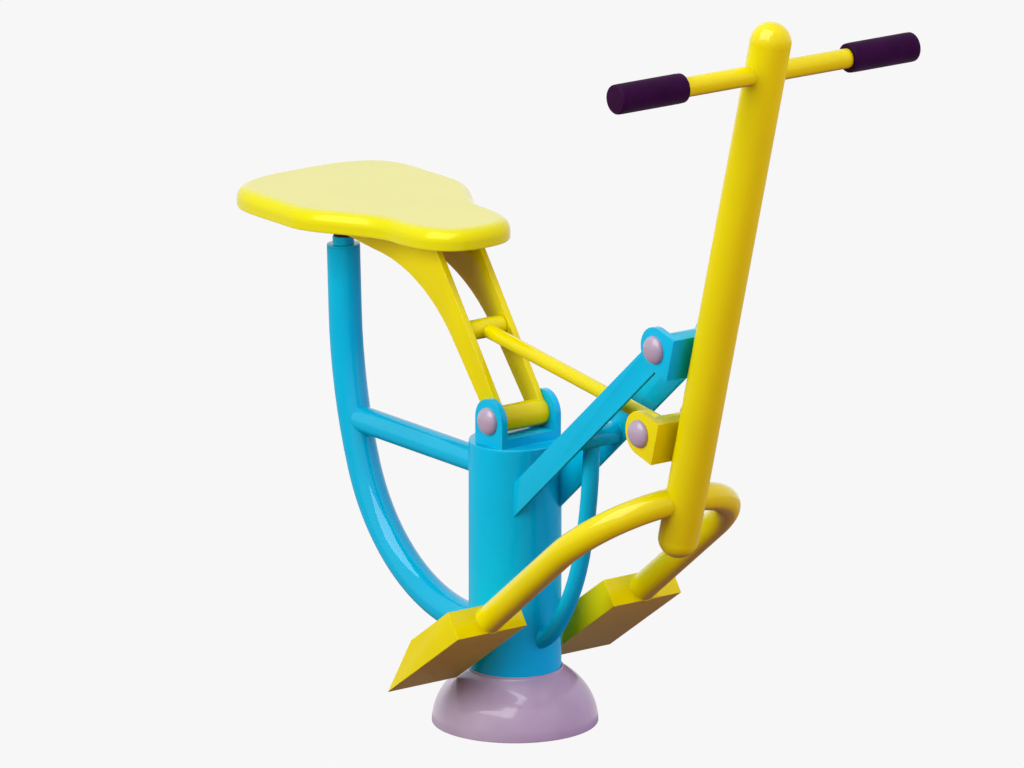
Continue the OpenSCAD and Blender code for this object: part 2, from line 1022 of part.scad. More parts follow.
module at_bar() {
    on_lever_axis()
        translate([0, 0, bar_up])
            children();
}

module handlebar() {
    half = bar_len / 2 - grip_end_t;
    color(yellow)
        at_bar()
            translate([0, half, 0])
                rotate([90, 0, 0])
                    pipe(2 * half, bar_d, bar_wall);
}

module grip(side) {
    round_r = grip_end_t;
    inner = bar_d / 2 + fit_gap;
    color(dark)
        at_bar()
            translate([0, side * (bar_len / 2 - grip_len), 0])
                rotate([-90 * side, 0, 0])
                    rotate_extrude()
                        difference() {
                            hull() {
                                square([grip_d / 2 - round_r, grip_len]);
                                for (y = [round_r, grip_len - round_r]) {
                                    translate([grip_d / 2 - round_r, y])
                                        circle(r = round_r, $fn = 32);
                                }
                            }
                            translate([-over, -over])
                                square([inner + over, grip_len - grip_end_t + over]);
                            translate([-grip_d, -over])
                                square([grip_d, grip_len + 2 * over]);
                        }
}

// Solid of a pedal, used to trim the bar that is welded to it
module at_pedal(side) {
    translate([pedal_front_x, side * pedal_y, pedal_front_z])
        rotate([0, -pedal_slope, 0])
            children();
}

module pedal_block(side, width) {
    at_pedal(side)
        translate([0, width / 2, 0])
            rotate([90, 0, 0])
                linear_extrude(width)
                    polygon(pedal_points);
}

module foot_bar(side) {
    start = foot_y - foot_bend_r;
    back_len = pedal_front_x + foot_bend_r * 2;
    color(yellow)
        difference() {
            on_lever_axis()
                translate([-foot_bar_back, 0, -foot_bar_down])
                    rotate([0, -handle_lean - foot_slope, 0])
                        mirror([0, side > 0 ? 0 : 1, 0])
                            rotate([-90, 0, 0])
                                mirror([1, 0, 0])
                                    bent_tube([[start, 0], [foot_bend_r, 90], [back_len, 0]],
                                        foot_bar_d, foot_bar_wall);
            lever_solid();
            foot_bar_trim(side);
        }
}

// Everything behind the front face of a pedal
module foot_bar_trim(side) {
    at_pedal(side)
        translate([-back_reach, -pedal_w, -pedal_w])
            cube([back_reach, 2 * pedal_w, 2 * pedal_w]);
}

// Folded sheet of a pedal: front, top, slope and underside
module pedal(side) {
    color(yellow)
        difference() {
            pedal_block(side, pedal_w - 2 * pedal_wall);
            at_pedal(side)
                translate([0, pedal_w, 0])
                    rotate([90, 0, 0])
                        linear_extrude(2 * pedal_w)
                            offset(delta = -pedal_wall)
                                polygon(pedal_points);
        }
}

// The two plates that close a pedal's sides
module pedal_sides(side) {
    color(yellow)
        difference() {
            pedal_block(side, pedal_w);
            at_pedal(side)
                translate([-back_reach / 2, 0, 0])
                    cube([2 * back_reach, pedal_w - 2 * pedal_wall, back_reach], center = true);
        }
}

base_flange();
base_gussets();
ground_cover();
main_post();
post_cap();
post_clevis();
frame_arm(1);  // frame_arm_left
frame_arm(-1);  // frame_arm_right
arm_cross_tube();
front_support_tube();
rear_support_tube();
rear_tube_cap();
rear_brace();
stop_stub();
stop_buffer();
upper_pivot_hub();
upper_bearings();
seat_axle_bolt();
seat_axle_nut();
seat_axle_caps();
seat_hub();
seat_bearings();
seat_plate(1);  // seat_plate_left
seat_plate(-1);  // seat_plate_right
seat_straps();
seat_screws();
seat();
link_pin();
push_rod();
rod_rear_sleeve();
link_bushes();
rod_front_hub();
rod_bearings();
handle_post();
post_top_dome();
post_bottom_dome();
upper_clevis();
lower_clevis();
upper_axle_bolt();
upper_axle_nut();
upper_axle_caps();
lower_axle_bolt();
lower_axle_nut();
lower_axle_caps();
handlebar();
grip(1);  // grip_left
grip(-1);  // grip_right
foot_bar(1);  // foot_bar_left
foot_bar(-1);  // foot_bar_right
pedal(1);  // pedal_left
pedal(-1);  // pedal_right
pedal_sides(1);  // pedal_sides_left
pedal_sides(-1);  // pedal_sides_right
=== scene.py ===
"""Outdoor rider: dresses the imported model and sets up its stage."""

import math

import bmesh
import bpy
from bpy.props import BoolProperty, FloatProperty, FloatVectorProperty, IntProperty, PointerProperty
from mathutils import Matrix, Vector


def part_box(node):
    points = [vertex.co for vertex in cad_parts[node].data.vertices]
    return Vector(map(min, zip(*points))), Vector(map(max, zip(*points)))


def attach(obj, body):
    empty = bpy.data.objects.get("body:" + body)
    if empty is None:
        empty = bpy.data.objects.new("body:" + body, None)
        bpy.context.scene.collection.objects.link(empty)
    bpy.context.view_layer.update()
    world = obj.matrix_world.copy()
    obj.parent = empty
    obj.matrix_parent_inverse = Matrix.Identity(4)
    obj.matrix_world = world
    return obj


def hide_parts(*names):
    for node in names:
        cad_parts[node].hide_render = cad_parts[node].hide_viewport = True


bl_info = {
    "name": "Outdoor rider",
    "version": (1, 0, 0),
    "blender": (4, 5, 0),
    "location": "View3D > Sidebar > Rider",
    "description": "Builds the painted, moulded and welded pieces of an outdoor rider on its frame",
    "category": "Object",
}

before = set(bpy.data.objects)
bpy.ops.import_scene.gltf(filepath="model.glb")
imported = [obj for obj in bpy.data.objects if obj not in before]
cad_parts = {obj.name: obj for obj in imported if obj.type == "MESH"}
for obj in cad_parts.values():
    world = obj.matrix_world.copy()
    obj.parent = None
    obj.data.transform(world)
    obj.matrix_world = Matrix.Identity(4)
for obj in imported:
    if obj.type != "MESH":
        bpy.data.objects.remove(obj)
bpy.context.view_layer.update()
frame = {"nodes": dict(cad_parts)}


def at(x, y, z):
    """Place at a point, unturned."""
    return Matrix.Translation((x, y, z))


def leaned(angle):
    """Turn about the axis that runs across the machine."""
    return Matrix.Rotation(angle, 4, "Y")


ACROSS = Matrix.Rotation(-math.pi / 2, 4, "X")  # turns a place's Z axis to the rider's left
SIDES = ((1, "left"), (-1, "right"))

# Body and finish that most pieces share

BLUE_FRAME = ("frame", "blue_paint")
YELLOW_ARM = ("seat_arm", "yellow_paint")
YELLOW_ROD = ("push_rod", "yellow_paint")
YELLOW_LEVER = ("handle", "yellow_paint")
BLUE_LEVER = ("handle", "blue_paint")

# Places and sizes that the frame fixes, in metres

SEAT_PIVOT = Vector((0.0075, 0, 0.478))
LINK_PIVOT = SEAT_PIVOT + Vector((-0.086, 0, 0.1175))
HANDLE_PIVOT = Vector((0.4114, 0, 0.6741))
LEVER_LEAN = math.radians(14.93)
PIVOT_SPACING = 0.140
PIVOT_TO_POST = 0.065
HANDLE_FRAME = at(*HANDLE_PIVOT) @ leaned(LEVER_LEAN)
LOWER_FRAME = HANDLE_FRAME @ at(0, 0, -PIVOT_SPACING)
LEVER_FRAME = HANDLE_FRAME @ at(PIVOT_TO_POST, 0, 0)
LOWER_PIVOT = LOWER_FRAME.translation

CLEVIS_WIDTH = 0.111
CLEVIS_HALF_LENGTH = 0.0335
CLEVIS_BASE = 0.015
EAR_THICKNESS = 0.0105
PIN_HEIGHT = 0.038

HUB_RADIUS = 0.020
HUB_CUT = 0.0195
ARM_RISE = math.radians(41)
ARM_END = 0.008
ARM_INSIDE = 0.038
SEAT_PLATE_INSIDE = 0.0335
SEAT_PLATE_OUTSIDE = 0.044
SLEEVE_RADIUS = 0.0152
SLEEVE_BORE = 0.0122
ROD_RADIUS = 0.011

CROSS_X = 0.196
CROSS_PIVOT = Vector((CROSS_X, 0, HANDLE_PIVOT.z - (HANDLE_PIVOT.x - CROSS_X) * math.tan(ARM_RISE)))
FRONT_START = Vector((-0.0067, 0, 0))
FRONT_LEAN = math.radians(2.7)
FRONT_INTO_POST = 0.032
FRONT_RUN = [(0.041, 0), (0.753, 11.3), (0.347, 23), (0.120, 53)]
REAR_TOP = at(-0.4336, 0, 0.651)
REAR_LEAN = math.radians(2.1)
REAR_RUN = [(0.102, 0), (0.735, 18.7), (0.285, 69.2), (0.112, 0)]
BRACE_HEIGHT = 0.387
BRACE_RUN = (-0.403, -0.3, -0.2, -0.1, 0.0)
FOOT_ROOT = at(-0.009, 0, -0.2322)
FOOT_SLOPE = math.radians(38.7)
GRIP_WALL = 0.004
PEDAL_FACE = Vector((0.12475, 0.1464, 0.2128))
PEDAL_SLOPE = math.radians(35)

# Smaller weld beads, as shares of the full one

FINE_BEAD = 0.8
STUB_BEAD = 0.7


def top_of(node):
    """Height of the highest point of a node of the frame."""
    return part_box(node)[1].z


def width_of(node):
    """Size of a node of the frame from the rider's right to left."""
    low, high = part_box(node)
    return high.y - low.y


# Settings


def metres(name, description, default):
    """A length that can be set."""
    return FloatProperty(name=name, description=description, default=default, unit="LENGTH")


def strength(name, description, default):
    """The strength of a light, which can't be negative."""
    return FloatProperty(name=name, description=description, default=default, min=0)


def tint(name, description, default):
    """A colour that can be set."""
    return FloatVectorProperty(
        name=name, description=description, default=default, subtype="COLOR", size=3, min=0, max=1)


class PostSizes(bpy.types.PropertyGroup):
    diameter: metres("Diameter", "Outside diameter of the main post", width_of("main_post"))
    height: metres("Height", "Top of the main post's cap plate", top_of("post_cap"))
    cap_thickness: metres("Cap plate", "Thickness of the plate on the post", 0.008)
    edge: metres("Edge", "Rounding of the cap plate's edge", 0.0015)
    cover_diameter: metres(
        "Cover diameter", "Diameter of the ground cover at its rim", width_of("ground_cover"))
    cover_rise: metres("Cover rise", "Height that the cover's dome would reach without the post", 0.102)
    cover_wall: metres("Cover wall", "Wall of the ground cover", 0.0025)


class FrameSizes(bpy.types.PropertyGroup):
    rear_diameter: metres("Rear tube", "Diameter of the rear support tube", 0.051)
    front_diameter: metres("Front tube", "Diameter of the front support tube", 0.0255)
    brace_diameter: metres("Brace", "Diameter of the rear brace", 0.041)
    cross_diameter: metres("Cross tube", "Diameter of the tube between the arms", 0.034)
    arm_height: metres("Arm height", "Height of the flat arms", 0.040)
    arm_thickness: metres("Arm thickness", "Thickness of the flat arms", 0.006)
    plate_edge: metres("Plate edge", "Rounding of flame-cut plate edges under the paint", 0.0009)
    bead: metres("Weld bead", "Radius of the weld beads", 0.0007)
    bead_pitch: metres("Weld pitch", "Distance from ripple to ripple of the weld beads", 0.0045)
    bead_ripple: FloatProperty(
        name="Weld ripple", description="Share by which the weld beads swell and shrink", default=0.22,
        subtype="FACTOR", min=0, max=1)


class SeatSizes(bpy.types.PropertyGroup):
    length: metres("Length", "Length of the seat", 0.4834)
    nose: metres("Nose", "Distance of the seat's nose behind the post's axis", 0.0734)
    half_width: metres("Half width", "Half width of the seat at its rear", 0.1605)
    nose_half: metres("Nose half width", "Half width of the seat at its nose", 0.0905)
    thickness: metres("Thickness", "Thickness of the seat", 0.0313)
    edge: metres("Edge", "Rounding of the seat's upper edge", 0.0197)
    steps: IntProperty(
        name="Steps", description="Points along each side of the seat's outline", default=120, min=20)


class LeverSizes(bpy.types.PropertyGroup):
    diameter: metres("Diameter", "Diameter of the handle post", 0.061)
    up: metres("Up", "Length of the handle post above its pivot, without its dome", 0.5265)
    down: metres("Down", "Length of the handle post below its pivot, without its dome", 0.291)
    bar_up: metres("Bar height", "Height of the handlebar above the pivot, along the post", 0.4773)
    bar_diameter: metres("Bar", "Diameter of the handlebar", 0.0295)
    bar_length: metres(
        "Bar length", "Length of the handlebar over its grips", width_of("handlebar") + 2 * GRIP_WALL)
    grip_diameter: metres("Grip", "Diameter of the grips", 0.044)
    grip_length: metres("Grip length", "Length of the grips", 0.122)
    foot_bar_diameter: metres("Foot bar", "Diameter of the foot bars", 0.042)


class PedalSizes(bpy.types.PropertyGroup):
    width: metres("Width", "Width of a pedal", 0.129)
    height: metres("Height", "Height of a pedal's front", 0.0444)
    length: metres("Length", "Length of a pedal's underside", 0.2145)
    top_length: metres("Top length", "Length of a pedal's top", 0.1126)
    sheet: metres("Sheet", "Thickness of the pedals' sheet", 0.003)
    fold: metres("Fold", "Outside rounding of the folds", 0.0009)


class FinishColours(bpy.types.PropertyGroup):
    blue: tint("Blue paint", "Colour of the frame's gloss paint", (0.0, 0.455, 0.700))
    yellow: tint("Yellow paint", "Colour of the moving parts' gloss paint", (0.705, 0.630, 0.0))
    seat: tint("Seat plastic", "Colour of the moulded seat", (0.655, 0.635, 0.0))
    mauve: tint("Mauve plastic", "Colour of the cover and caps", (0.400, 0.325, 0.425))
    grip: tint("Grip rubber", "Colour of the grips", (0.024, 0.002, 0.027))


class StageSettings(bpy.types.PropertyGroup):
    key: strength("Key light", "Strength of the large soft light, in watts", 205)
    fill: strength("Fill light", "Strength of the light from the other side, in watts", 130)
    back: strength("Back light", "Strength of the light behind, in watts", 75)
    top: strength("Top light", "Strength of the light overhead, in watts", 38)
    box: strength("Soft box", "Strength of the box that shows only in reflections, in watts", 260)
    sky: strength("Sky", "Strength of the light from all round", 0.45)
    sky_tint: tint("Sky tint", "Colour of the light from all round", (0.92, 0.84, 1.0))
    floor: tint("Floor light", "Colour of the light that the floor sends back up", (0.24, 0.080, 0.085))
    backdrop: FloatProperty(
        name="Backdrop", description="Brightness of the pale floor and background", default=0.9301,
        min=0, max=1)
    lens: FloatProperty(
        name="Lens", description="Focal length of the camera, in millimetres", default=391.7, min=1)
    distance: metres("Distance", "Distance of the camera from the object", 16.7178)
    has_floor: BoolProperty(
        name="Floor", description="Lays a pale floor under the object", default=True)


class RiderSettings(bpy.types.PropertyGroup):
    post: PointerProperty(type=PostSizes)
    frame: PointerProperty(type=FrameSizes)
    seat: PointerProperty(type=SeatSizes)
    lever: PointerProperty(type=LeverSizes)
    pedal: PointerProperty(type=PedalSizes)
    colours: PointerProperty(type=FinishColours)
    stage: PointerProperty(type=StageSettings)


# Node trees, with maths as plain expressions


class Signal:
    """An output socket of a tree. Maths on it adds the nodes that work it out."""

    def __init__(self, home, socket):
        self.home = home
        self.socket = socket

    def maths(self, operation, *values):
        return self.home.node("ShaderNodeMath", {"operation": operation}, dict(enumerate(values)))

    def __add__(self, other):
        return self.maths("ADD", self, other)

    def __radd__(self, other):
        return self.maths("ADD", other, self)

    def __sub__(self, other):
        return self.maths("SUBTRACT", self, other)

    def __rsub__(self, other):
        return self.maths("SUBTRACT", other, self)

    def __mul__(self, other):
        return self.maths("MULTIPLY", self, other)

    def __rmul__(self, other):
        return self.maths("MULTIPLY", other, self)

    def __truediv__(self, other):
        return self.maths("DIVIDE", self, other)

    def __rtruediv__(self, other):
        return self.maths("DIVIDE", other, self)

    def between(self, low, high):
        """0 at and below low, 1 at and above high, smooth in between."""
        return self.home.node(
            "ShaderNodeMapRange", {"interpolation_type": "SMOOTHSTEP", "clamp": True},
            {"Value": self, "From Min": low, "From Max": high, "To Min": 0.0, "To Max": 1.0})


class Tree:
    """Node tree that is being put together."""

    def __init__(self, tree):
        self.tree = tree

    def node(self, kind, settings=None, inputs=None, output=0):
        """Adds a node, sets it up, joins or fills its inputs, and gives the named output."""
        made = self.tree.nodes.new(kind)
        for name, value in (settings or {}).items():
            setattr(made, name, value)
        for key, value in (inputs or {}).items():
            if isinstance(value, Signal):
                self.tree.links.new(value.socket, made.inputs[key])
            else:
                made.inputs[key].default_value = value
        return Signal(self, made.outputs[output] if made.outputs else None)


class Shading(Tree):
    """Node tree of a material or of the world."""

    def __init__(self, owner):
        owner.use_nodes = True
        self.owner = owner
        super().__init__(owner.node_tree)
        self.tree.nodes.clear()

    def mix(self, factor, first, second):
        """Colour between first and second."""
        return self.node(
            "ShaderNodeMix", {"data_type": "RGBA", "clamp_factor": True},
            {0: factor, 6: full(first), 7: full(second)}, 2)

    def blend(self, factor, first, second):
        """Shader between first and second."""
        return self.node("ShaderNodeMixShader", {}, {0: factor, 1: first, 2: second})

    def seen(self):
        """1 where the camera sees the surface, itself or in gloss or glass, 0 where it lights others."""
        camera = self.node("ShaderNodeLightPath", output="Is Camera Ray")
        glossy = self.node("ShaderNodeLightPath", output="Is Glossy Ray")
        clear = self.node("ShaderNodeLightPath", output="Is Transmission Ray")
        return camera + glossy + clear


class Finish(Shading):
    """A material that is being put together from nodes."""

    def __init__(self, name):
        super().__init__(bpy.data.materials.new(name))
        self.place = self.node("ShaderNodeTexCoord", output="Object")

    def noise(self, scale, detail=2.0, roughness=0.5, place=None):
        """Smooth noise between 0 and 1, scale to the metre."""
        return self.node(
            "ShaderNodeTexNoise", {"noise_dimensions": "3D"},
            {"Vector": place or self.place, "Scale": scale, "Detail": detail, "Roughness": roughness})

    def cells(self, scale, smoothness):
        """Rounded cells that fill the surface, scale to the metre."""
        return self.node(
            "ShaderNodeTexVoronoi", {"feature": "SMOOTH_F1"},
            {"Vector": self.place, "Scale": scale, "Smoothness": smoothness})

    def bump(self, height, strength, distance, normal=None):
        """Normal of a surface raised by height times distance, in metres."""
        inputs = {"Height": height, "Strength": strength, "Distance": distance}
        if normal:
            inputs["Normal"] = normal
        return self.node("ShaderNodeBump", {}, inputs)

    def upward(self):
        """1 where the surface faces up, 0 where it is upright, -1 underneath."""
        facing = self.node("ShaderNodeTexCoord", output="Normal")
        return self.node("ShaderNodeSeparateXYZ", {}, {"Vector": facing}, "Z")

    def shader(self, **inputs):
        """Principled BSDF with these inputs, underscores for spaces."""
        named = {key.replace("_", " "): full(value) for key, value in inputs.items()}
        return self.node("ShaderNodeBsdfPrincipled", {}, named)

    def surface(self, shader):
        """The material, with that shader as its surface."""
        self.node("ShaderNodeOutputMaterial", {}, {"Surface": shader})
        return self.owner

    def with_painted_shade(self, gloss, upright, under, **shaded_inputs):
        """The material with painted shade and painted dark reflection: a matt copy blended in by facing,
        none where the surface faces up, more on upright faces, most underneath, so that only the tops keep
        their pale gloss.
        """
        matt_shaded_copy = self.shader(Roughness=0.85, IOR=1.5, **shaded_inputs)
        down = 0 - self.upward()
        # Painted shade mask: 0 on faces that face up, the upright share on upright faces, the under share
        # underneath
        share = down.between(-0.20, -0.08) * upright + down.between(0.15, 0.60) * (under - upright)
        return self.surface(self.blend(share, gloss, matt_shaded_copy))


def full(value):
    """A colour of three numbers with its fourth; anything else as it is."""
    if isinstance(value, (Signal, float, int)):
        return value
    parts = tuple(value)
    return (*parts, 1.0) if len(parts) == 3 else value


def scaled(colour, factor):
    """A colour made darker or lighter by a factor."""
    return tuple(min(1.0, part * factor) for part in colour)


# Finishes


def gloss_paint(name, colour, shade, glint, mirror, painted_under_shade):
    """Baked gloss paint: orange peel, slow waves and changes of depth, with painted shade: darker undersides
    and a matt copy on upright faces and undersides.
    """
    finish = Finish(name)
    film = finish.noise(7.0, detail=3.0, roughness=0.55)
    cloud = finish.noise(38.0)
    peel = finish.noise(420.0, roughness=0.4)
    grain = finish.noise(2100.0, detail=1.0)
    depth = film.between(0.35, 0.68) * 0.55 + cloud * 0.25
    body = finish.mix(depth, colour, shade)
    skin = finish.mix(grain.between(0.66, 0.78) * 0.08, body, glint)
    waves = finish.bump(cloud, strength=0.05, distance=0.0004)
    normal = finish.bump(peel + grain * 0.2, strength=0.05, distance=0.00006, normal=waves)
    rough = cloud * 0.03 + peel * 0.02 + 0.06
    gloss = finish.shader(
        Base_Color=skin, Roughness=rough, Normal=normal, IOR=1.5, Specular_IOR_Level=0.12,
        Specular_Tint=mirror, Coat_Weight=0.5, Coat_Roughness=0.03)
    # Painted shade: faces that face down turn towards a darker colour
    shaded_underside = finish.mix((0 - finish.upward()).between(0.55, 0.80) * 0.5, skin, painted_under_shade)
    # Painted shade: upright faces and undersides get a matt copy, so only faces that face up keep their
    # gloss
    return finish.with_painted_shade(
        gloss, upright=0.75, under=0.95, Base_Color=shaded_underside, Normal=normal, Specular_IOR_Level=0.02)


def moulded_seat(name, colour, shade):
    """Moulded polyethylene: fine grain and faint flow clouds, with a painted sheen: the coat is full where
    the seat faces up and thin on its rounded edge.
    """
    finish = Finish(name)
    flow = finish.noise(11.0, detail=4.0, roughness=0.55)
    grain = finish.cells(620.0, smoothness=0.6)
    pores = finish.noise(1500.0, detail=1.0)
    body = finish.mix(flow.between(0.3, 0.72) * 0.6, colour, shade)
    skin = finish.mix(pores.between(0.60, 0.80) * 0.12, body, shade)
    waves = finish.bump(flow, strength=0.06, distance=0.0010)
    normal = finish.bump(
        grain * 0.7 + pores * 0.3, strength=0.06, distance=0.00010, normal=waves)
    rough = flow * 0.05 + grain * 0.04 + 0.10
    # Painted sheen: full coat on the top, which keeps its pale reflection, little on the rounded edge, which
    # keeps glints off it
    top_sheen = finish.upward().between(0.70, 0.97) * 0.8 + 0.2
    return finish.surface(finish.shader(
        Base_Color=skin, Roughness=rough, Normal=normal, IOR=1.5, Coat_Weight=top_sheen,
        Coat_Roughness=0.05, Coat_IOR=1.4, Specular_IOR_Level=0.3, Specular_Tint=(1.0, 0.95, 0.20)))


def moulded_mauve(name, colour, shade):
    """Injection-moulded plastic with slight flow lines and fine grain, with painted shade: a matt copy on
    upright faces and undersides darkens the lower parts.
    """
    finish = Finish(name)
    flow = finish.noise(16.0, detail=3.0)
    fine = finish.noise(900.0)
    body = finish.mix(flow.between(0.3, 0.7) * 0.7, colour, shade)
    waves = finish.bump(flow, strength=0.05, distance=0.0008)
    normal = finish.bump(fine, strength=0.05, distance=0.00006, normal=waves)
    rough = flow * 0.04 + fine * 0.03 + 0.30
    gloss = finish.shader(
        Base_Color=body, Roughness=rough, Normal=normal, IOR=1.5, Coat_Weight=0.5,
        Coat_Roughness=0.02, Specular_IOR_Level=0.25)
    # Painted shade: a matt copy on upright faces and undersides, so only faces that face up keep their pale
    # gloss
    return finish.with_painted_shade(
        gloss, upright=0.85, under=0.95, Base_Color=body, Normal=normal, Specular_IOR_Level=0.05)


def soft_rubber(name, colour, shade):
    """Matt rubber skin with a pebbled surface."""
    finish = Finish(name)
    pebbles = finish.cells(700.0, smoothness=0.8)
    bloom = finish.noise(30.0, detail=3.0)
    body = finish.mix(bloom.between(0.35, 0.7) * 0.6, colour, shade)
    rough = bloom * 0.10 + pebbles * 0.08 + 0.50
    normal = finish.bump(pebbles, strength=0.40, distance=0.0003)
    return finish.surface(finish.shader(
        Base_Color=body, Roughness=rough, Normal=normal, IOR=1.5, Specular_IOR_Level=0.05))


def zinc_steel(name):
    """Zinc-plated steel with a drawn grain and dull spangles."""
    finish = Finish(name)
    stretched = finish.node(
        "ShaderNodeMapping", {}, {"Vector": finish.place, "Scale": (1.0, 0.08, 1.0)})
    drawn = finish.noise(900.0, roughness=0.6, place=stretched)
    cloud = finish.noise(60.0, detail=3.0)
    body = finish.mix(cloud, (0.62, 0.63, 0.64), (0.46, 0.47, 0.50))
    rough = cloud * 0.15 + drawn * 0.15 + 0.22
    normal = finish.bump(drawn, strength=0.25, distance=0.00008)
    return finish.surface(finish.shader(Base_Color=body, Metallic=1.0, Roughness=rough, Normal=normal))


def bush_plastic(name):
    """Dark greased bearing plastic."""
    finish = Finish(name)
    cloud = finish.noise(120.0, detail=3.0)
    body = finish.mix(cloud, (0.030, 0.028, 0.034), (0.060, 0.055, 0.060))
    normal = finish.bump(finish.noise(1500.0, detail=1.0), strength=0.2, distance=0.0001)
    return finish.surface(finish.shader(
        Base_Color=body, Roughness=cloud * 0.2 + 0.35, Normal=normal, IOR=1.5))


# Each paint's last colour is painted shade, a darker tone for its undersides
MAKERS = {
    "blue_paint": lambda name, own: gloss_paint(
        name, own.blue, shade=scaled(own.blue, 0.90), glint=(0.12, 0.72, 1.0),
        mirror=(0.10, 0.60, 0.95), painted_under_shade=scaled(own.blue, 0.80)),
    "yellow_paint": lambda name, own: gloss_paint(
        name, own.yellow, shade=scaled(own.yellow, 0.92), glint=(1.0, 0.90, 0.12),
        mirror=(0.95, 0.80, 0.05), painted_under_shade=(0.18, 0.13, 0.14)),
    "seat_plastic": lambda name, own: moulded_seat(name, own.seat, shade=scaled(own.seat, 0.95)),
    "mauve_plastic": lambda name, own: moulded_mauve(name, own.mauve, shade=scaled(own.mauve, 0.86)),
    "grip_rubber": lambda name, own: soft_rubber(name, own.grip, shade=scaled(own.grip, 0.6)),
    "black_rubber": lambda name, own: soft_rubber(
        name, (0.020, 0.019, 0.020), shade=(0.034, 0.032, 0.033)),
    "bush_plastic": lambda name, own: bush_plastic(name),
    "steel": lambda name, own: zinc_steel(name),
}


def finish_named(slot):
    """The finish of that slot, made on its first use."""
    name = slot + "_finish"
    return bpy.data.materials.get(name) or MAKERS[slot](name, bpy.context.scene.rider.colours)


# Lines in a plane


def even_steps(first, last, count):
    """Evenly spaced numbers from first to last, both included."""
    return [first + (last - first) * k / count for k in range(count + 1)]


def quarter(count):
    """Angles of a quarter turn."""
    return even_steps(0, math.pi / 2, count)


def eased(corners, closed=True, steps=4):
    """Points of a flat line through corners of (x, y, rounding), each corner rounded by an arc."""
    line = []
    last = len(corners) - 1
    for i, (x, y, rounding) in enumerate(corners):
        here = Vector((x, y))
        if rounding <= 0 or (not closed and i in (0, last)):
            line.append(here)
            continue
        before = (Vector(corners[i - 1][:2]) - here).normalized()
        after = (Vector(corners[(i + 1) % len(corners)][:2]) - here).normalized()
        half = before.angle(after) / 2
        centre = here + (before + after).normalized() * (rounding / math.sin(half))
        start = here + before * (rounding / math.tan(half)) - centre
        end = here + after * (rounding / math.tan(half)) - centre
        first = math.atan2(start.y, start.x)
        turn = (math.atan2(end.y, end.x) - first + math.pi) % math.tau - math.pi
        for angle in even_steps(first, first + turn, steps):
            line.append(centre + Vector((math.cos(angle), math.sin(angle))) * rounding)
    return line


def arc(centre, radius, first, last, steps):
    """Points of an arc between two angles in degrees."""
    angles = [math.radians(angle) for angle in even_steps(first, last, steps)]
    return [Vector((centre[0] + radius * math.cos(a), centre[1] + radius * math.sin(a))) for a in angles]


def elliptic(radius, height, angles, lift=0.0):
    """Unrounded corners along an elliptic arc about a point on the axis, lift above the origin."""
    return [(radius * math.cos(a), lift + height * math.sin(a), 0) for a in angles]


def rectangle(low, high):
    """Corners of a rectangle between two opposite ones."""
    return [Vector(low), Vector((high[0], low[1])), Vector(high), Vector((low[0], high[1]))]


def bar_profile(radius, low, high, low_edge=0.0, high_edge=0.0):
    """Profile of a solid round bar along its axis, with its rims rounded."""
    return eased([(0, low, 0), (radius, low, low_edge), (radius, high, high_edge), (0, high, 0)], False)


def spread(line, gap):
    """A closed line with more points, so that none are further apart than gap."""
    fine = []
    for a, b in zip(line, line[1:] + line[:1]):
        count = max(1, math.ceil((b - a).length / gap))
        fine.extend(a + (b - a) * k / count for k in range(count))
    return fine


def winding(line):
    """1 for a closed line that runs counterclockwise, otherwise -1."""
    area = sum(a.x * b.y - b.x * a.y for a, b in zip(line, line[1:] + line[:1]))
    return 1 if area > 0 else -1


def inset(line, depth):
    """A closed flat line with corners moved inwards, each side by depth."""
    sign = winding(line)
    moved = []
    for i, here in enumerate(line):
        before = (here - line[i - 1]).normalized()
        after = (line[(i + 1) % len(line)] - here).normalized()
        along = (before + after).normalized()
        inward = Vector((-along.y, along.x)) * sign
        lean = max(0.4, abs(inward.dot(Vector((-before.y, before.x)))))
        moved.append(here + inward * (depth / lean))
    return moved


def even_inset(line, depth):
    """A closed smooth line moved inwards along its normals."""
    sign = winding(line)
    moved = []
    for i, here in enumerate(line):
        along = (line[(i + 1) % len(line)] - line[i - 1]).normalized()
        moved.append(here + Vector((-along.y, along.x)) * (sign * depth))
    return moved


# Meshes


def in_scene(name, data):
    """New object of the scene with that data."""
    made = bpy.data.objects.new(name, data)
    bpy.context.scene.collection.objects.link(made)
    return made


def add_piece(name, mesh, make, nodes=()):
    """Puts a mesh in the scene as a piece of a (body, finish) that stands for nodes of the frame."""
    body, finish = make
    piece = in_scene(name, mesh)
    if not mesh.materials:
        mesh.materials.append(finish_named(finish))
    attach(piece, body)
    if nodes:
        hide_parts(*nodes)


def add_shell(name, parts, make, nodes, sharp=32):
    """Adds a piece made of parts of (points, faces), with edges sharper than an angle left crisp."""
    add_piece(name, shell(name, parts, sharp), make, nodes)


def shell(name, parts, sharp=32):
    """Mesh from parts of (points, faces)."""
    points, faces = [], []
    for more, corners in parts:
        faces += [[len(points) + i for i in face] for face in corners]
        points += more
    mesh = bpy.data.meshes.new(name)
    mesh.from_pydata(points, [], faces)
    return settled(mesh, sharp)


def settled(mesh, sharp):
    """The mesh with doubles merged, faces outwards, and smooth but for edges sharper than an angle."""
    work = bmesh.new()
    work.from_mesh(mesh)
    bmesh.ops.remove_doubles(work, verts=work.verts, dist=1e-6)
    bmesh.ops.recalc_face_normals(work, faces=work.faces)
    limit = math.radians(sharp)
    for face in work.faces:
        face.smooth = True
    for edge in work.edges:
        edge.smooth = edge.calc_face_angle(0) < limit
    work.to_mesh(mesh)
    work.free()
    return mesh


def applied(name, helpers):
    """Mesh of the first helper with its modifiers applied. The helpers go."""
    view = bpy.context.evaluated_depsgraph_get()
    mesh = bpy.data.meshes.new_from_object(helpers[0].evaluated_get(view))
    for helper in helpers:
        data = helper.data
        bpy.data.objects.remove(helper)
        bpy.data.meshes.remove(data)
    mesh.name = name
    return mesh


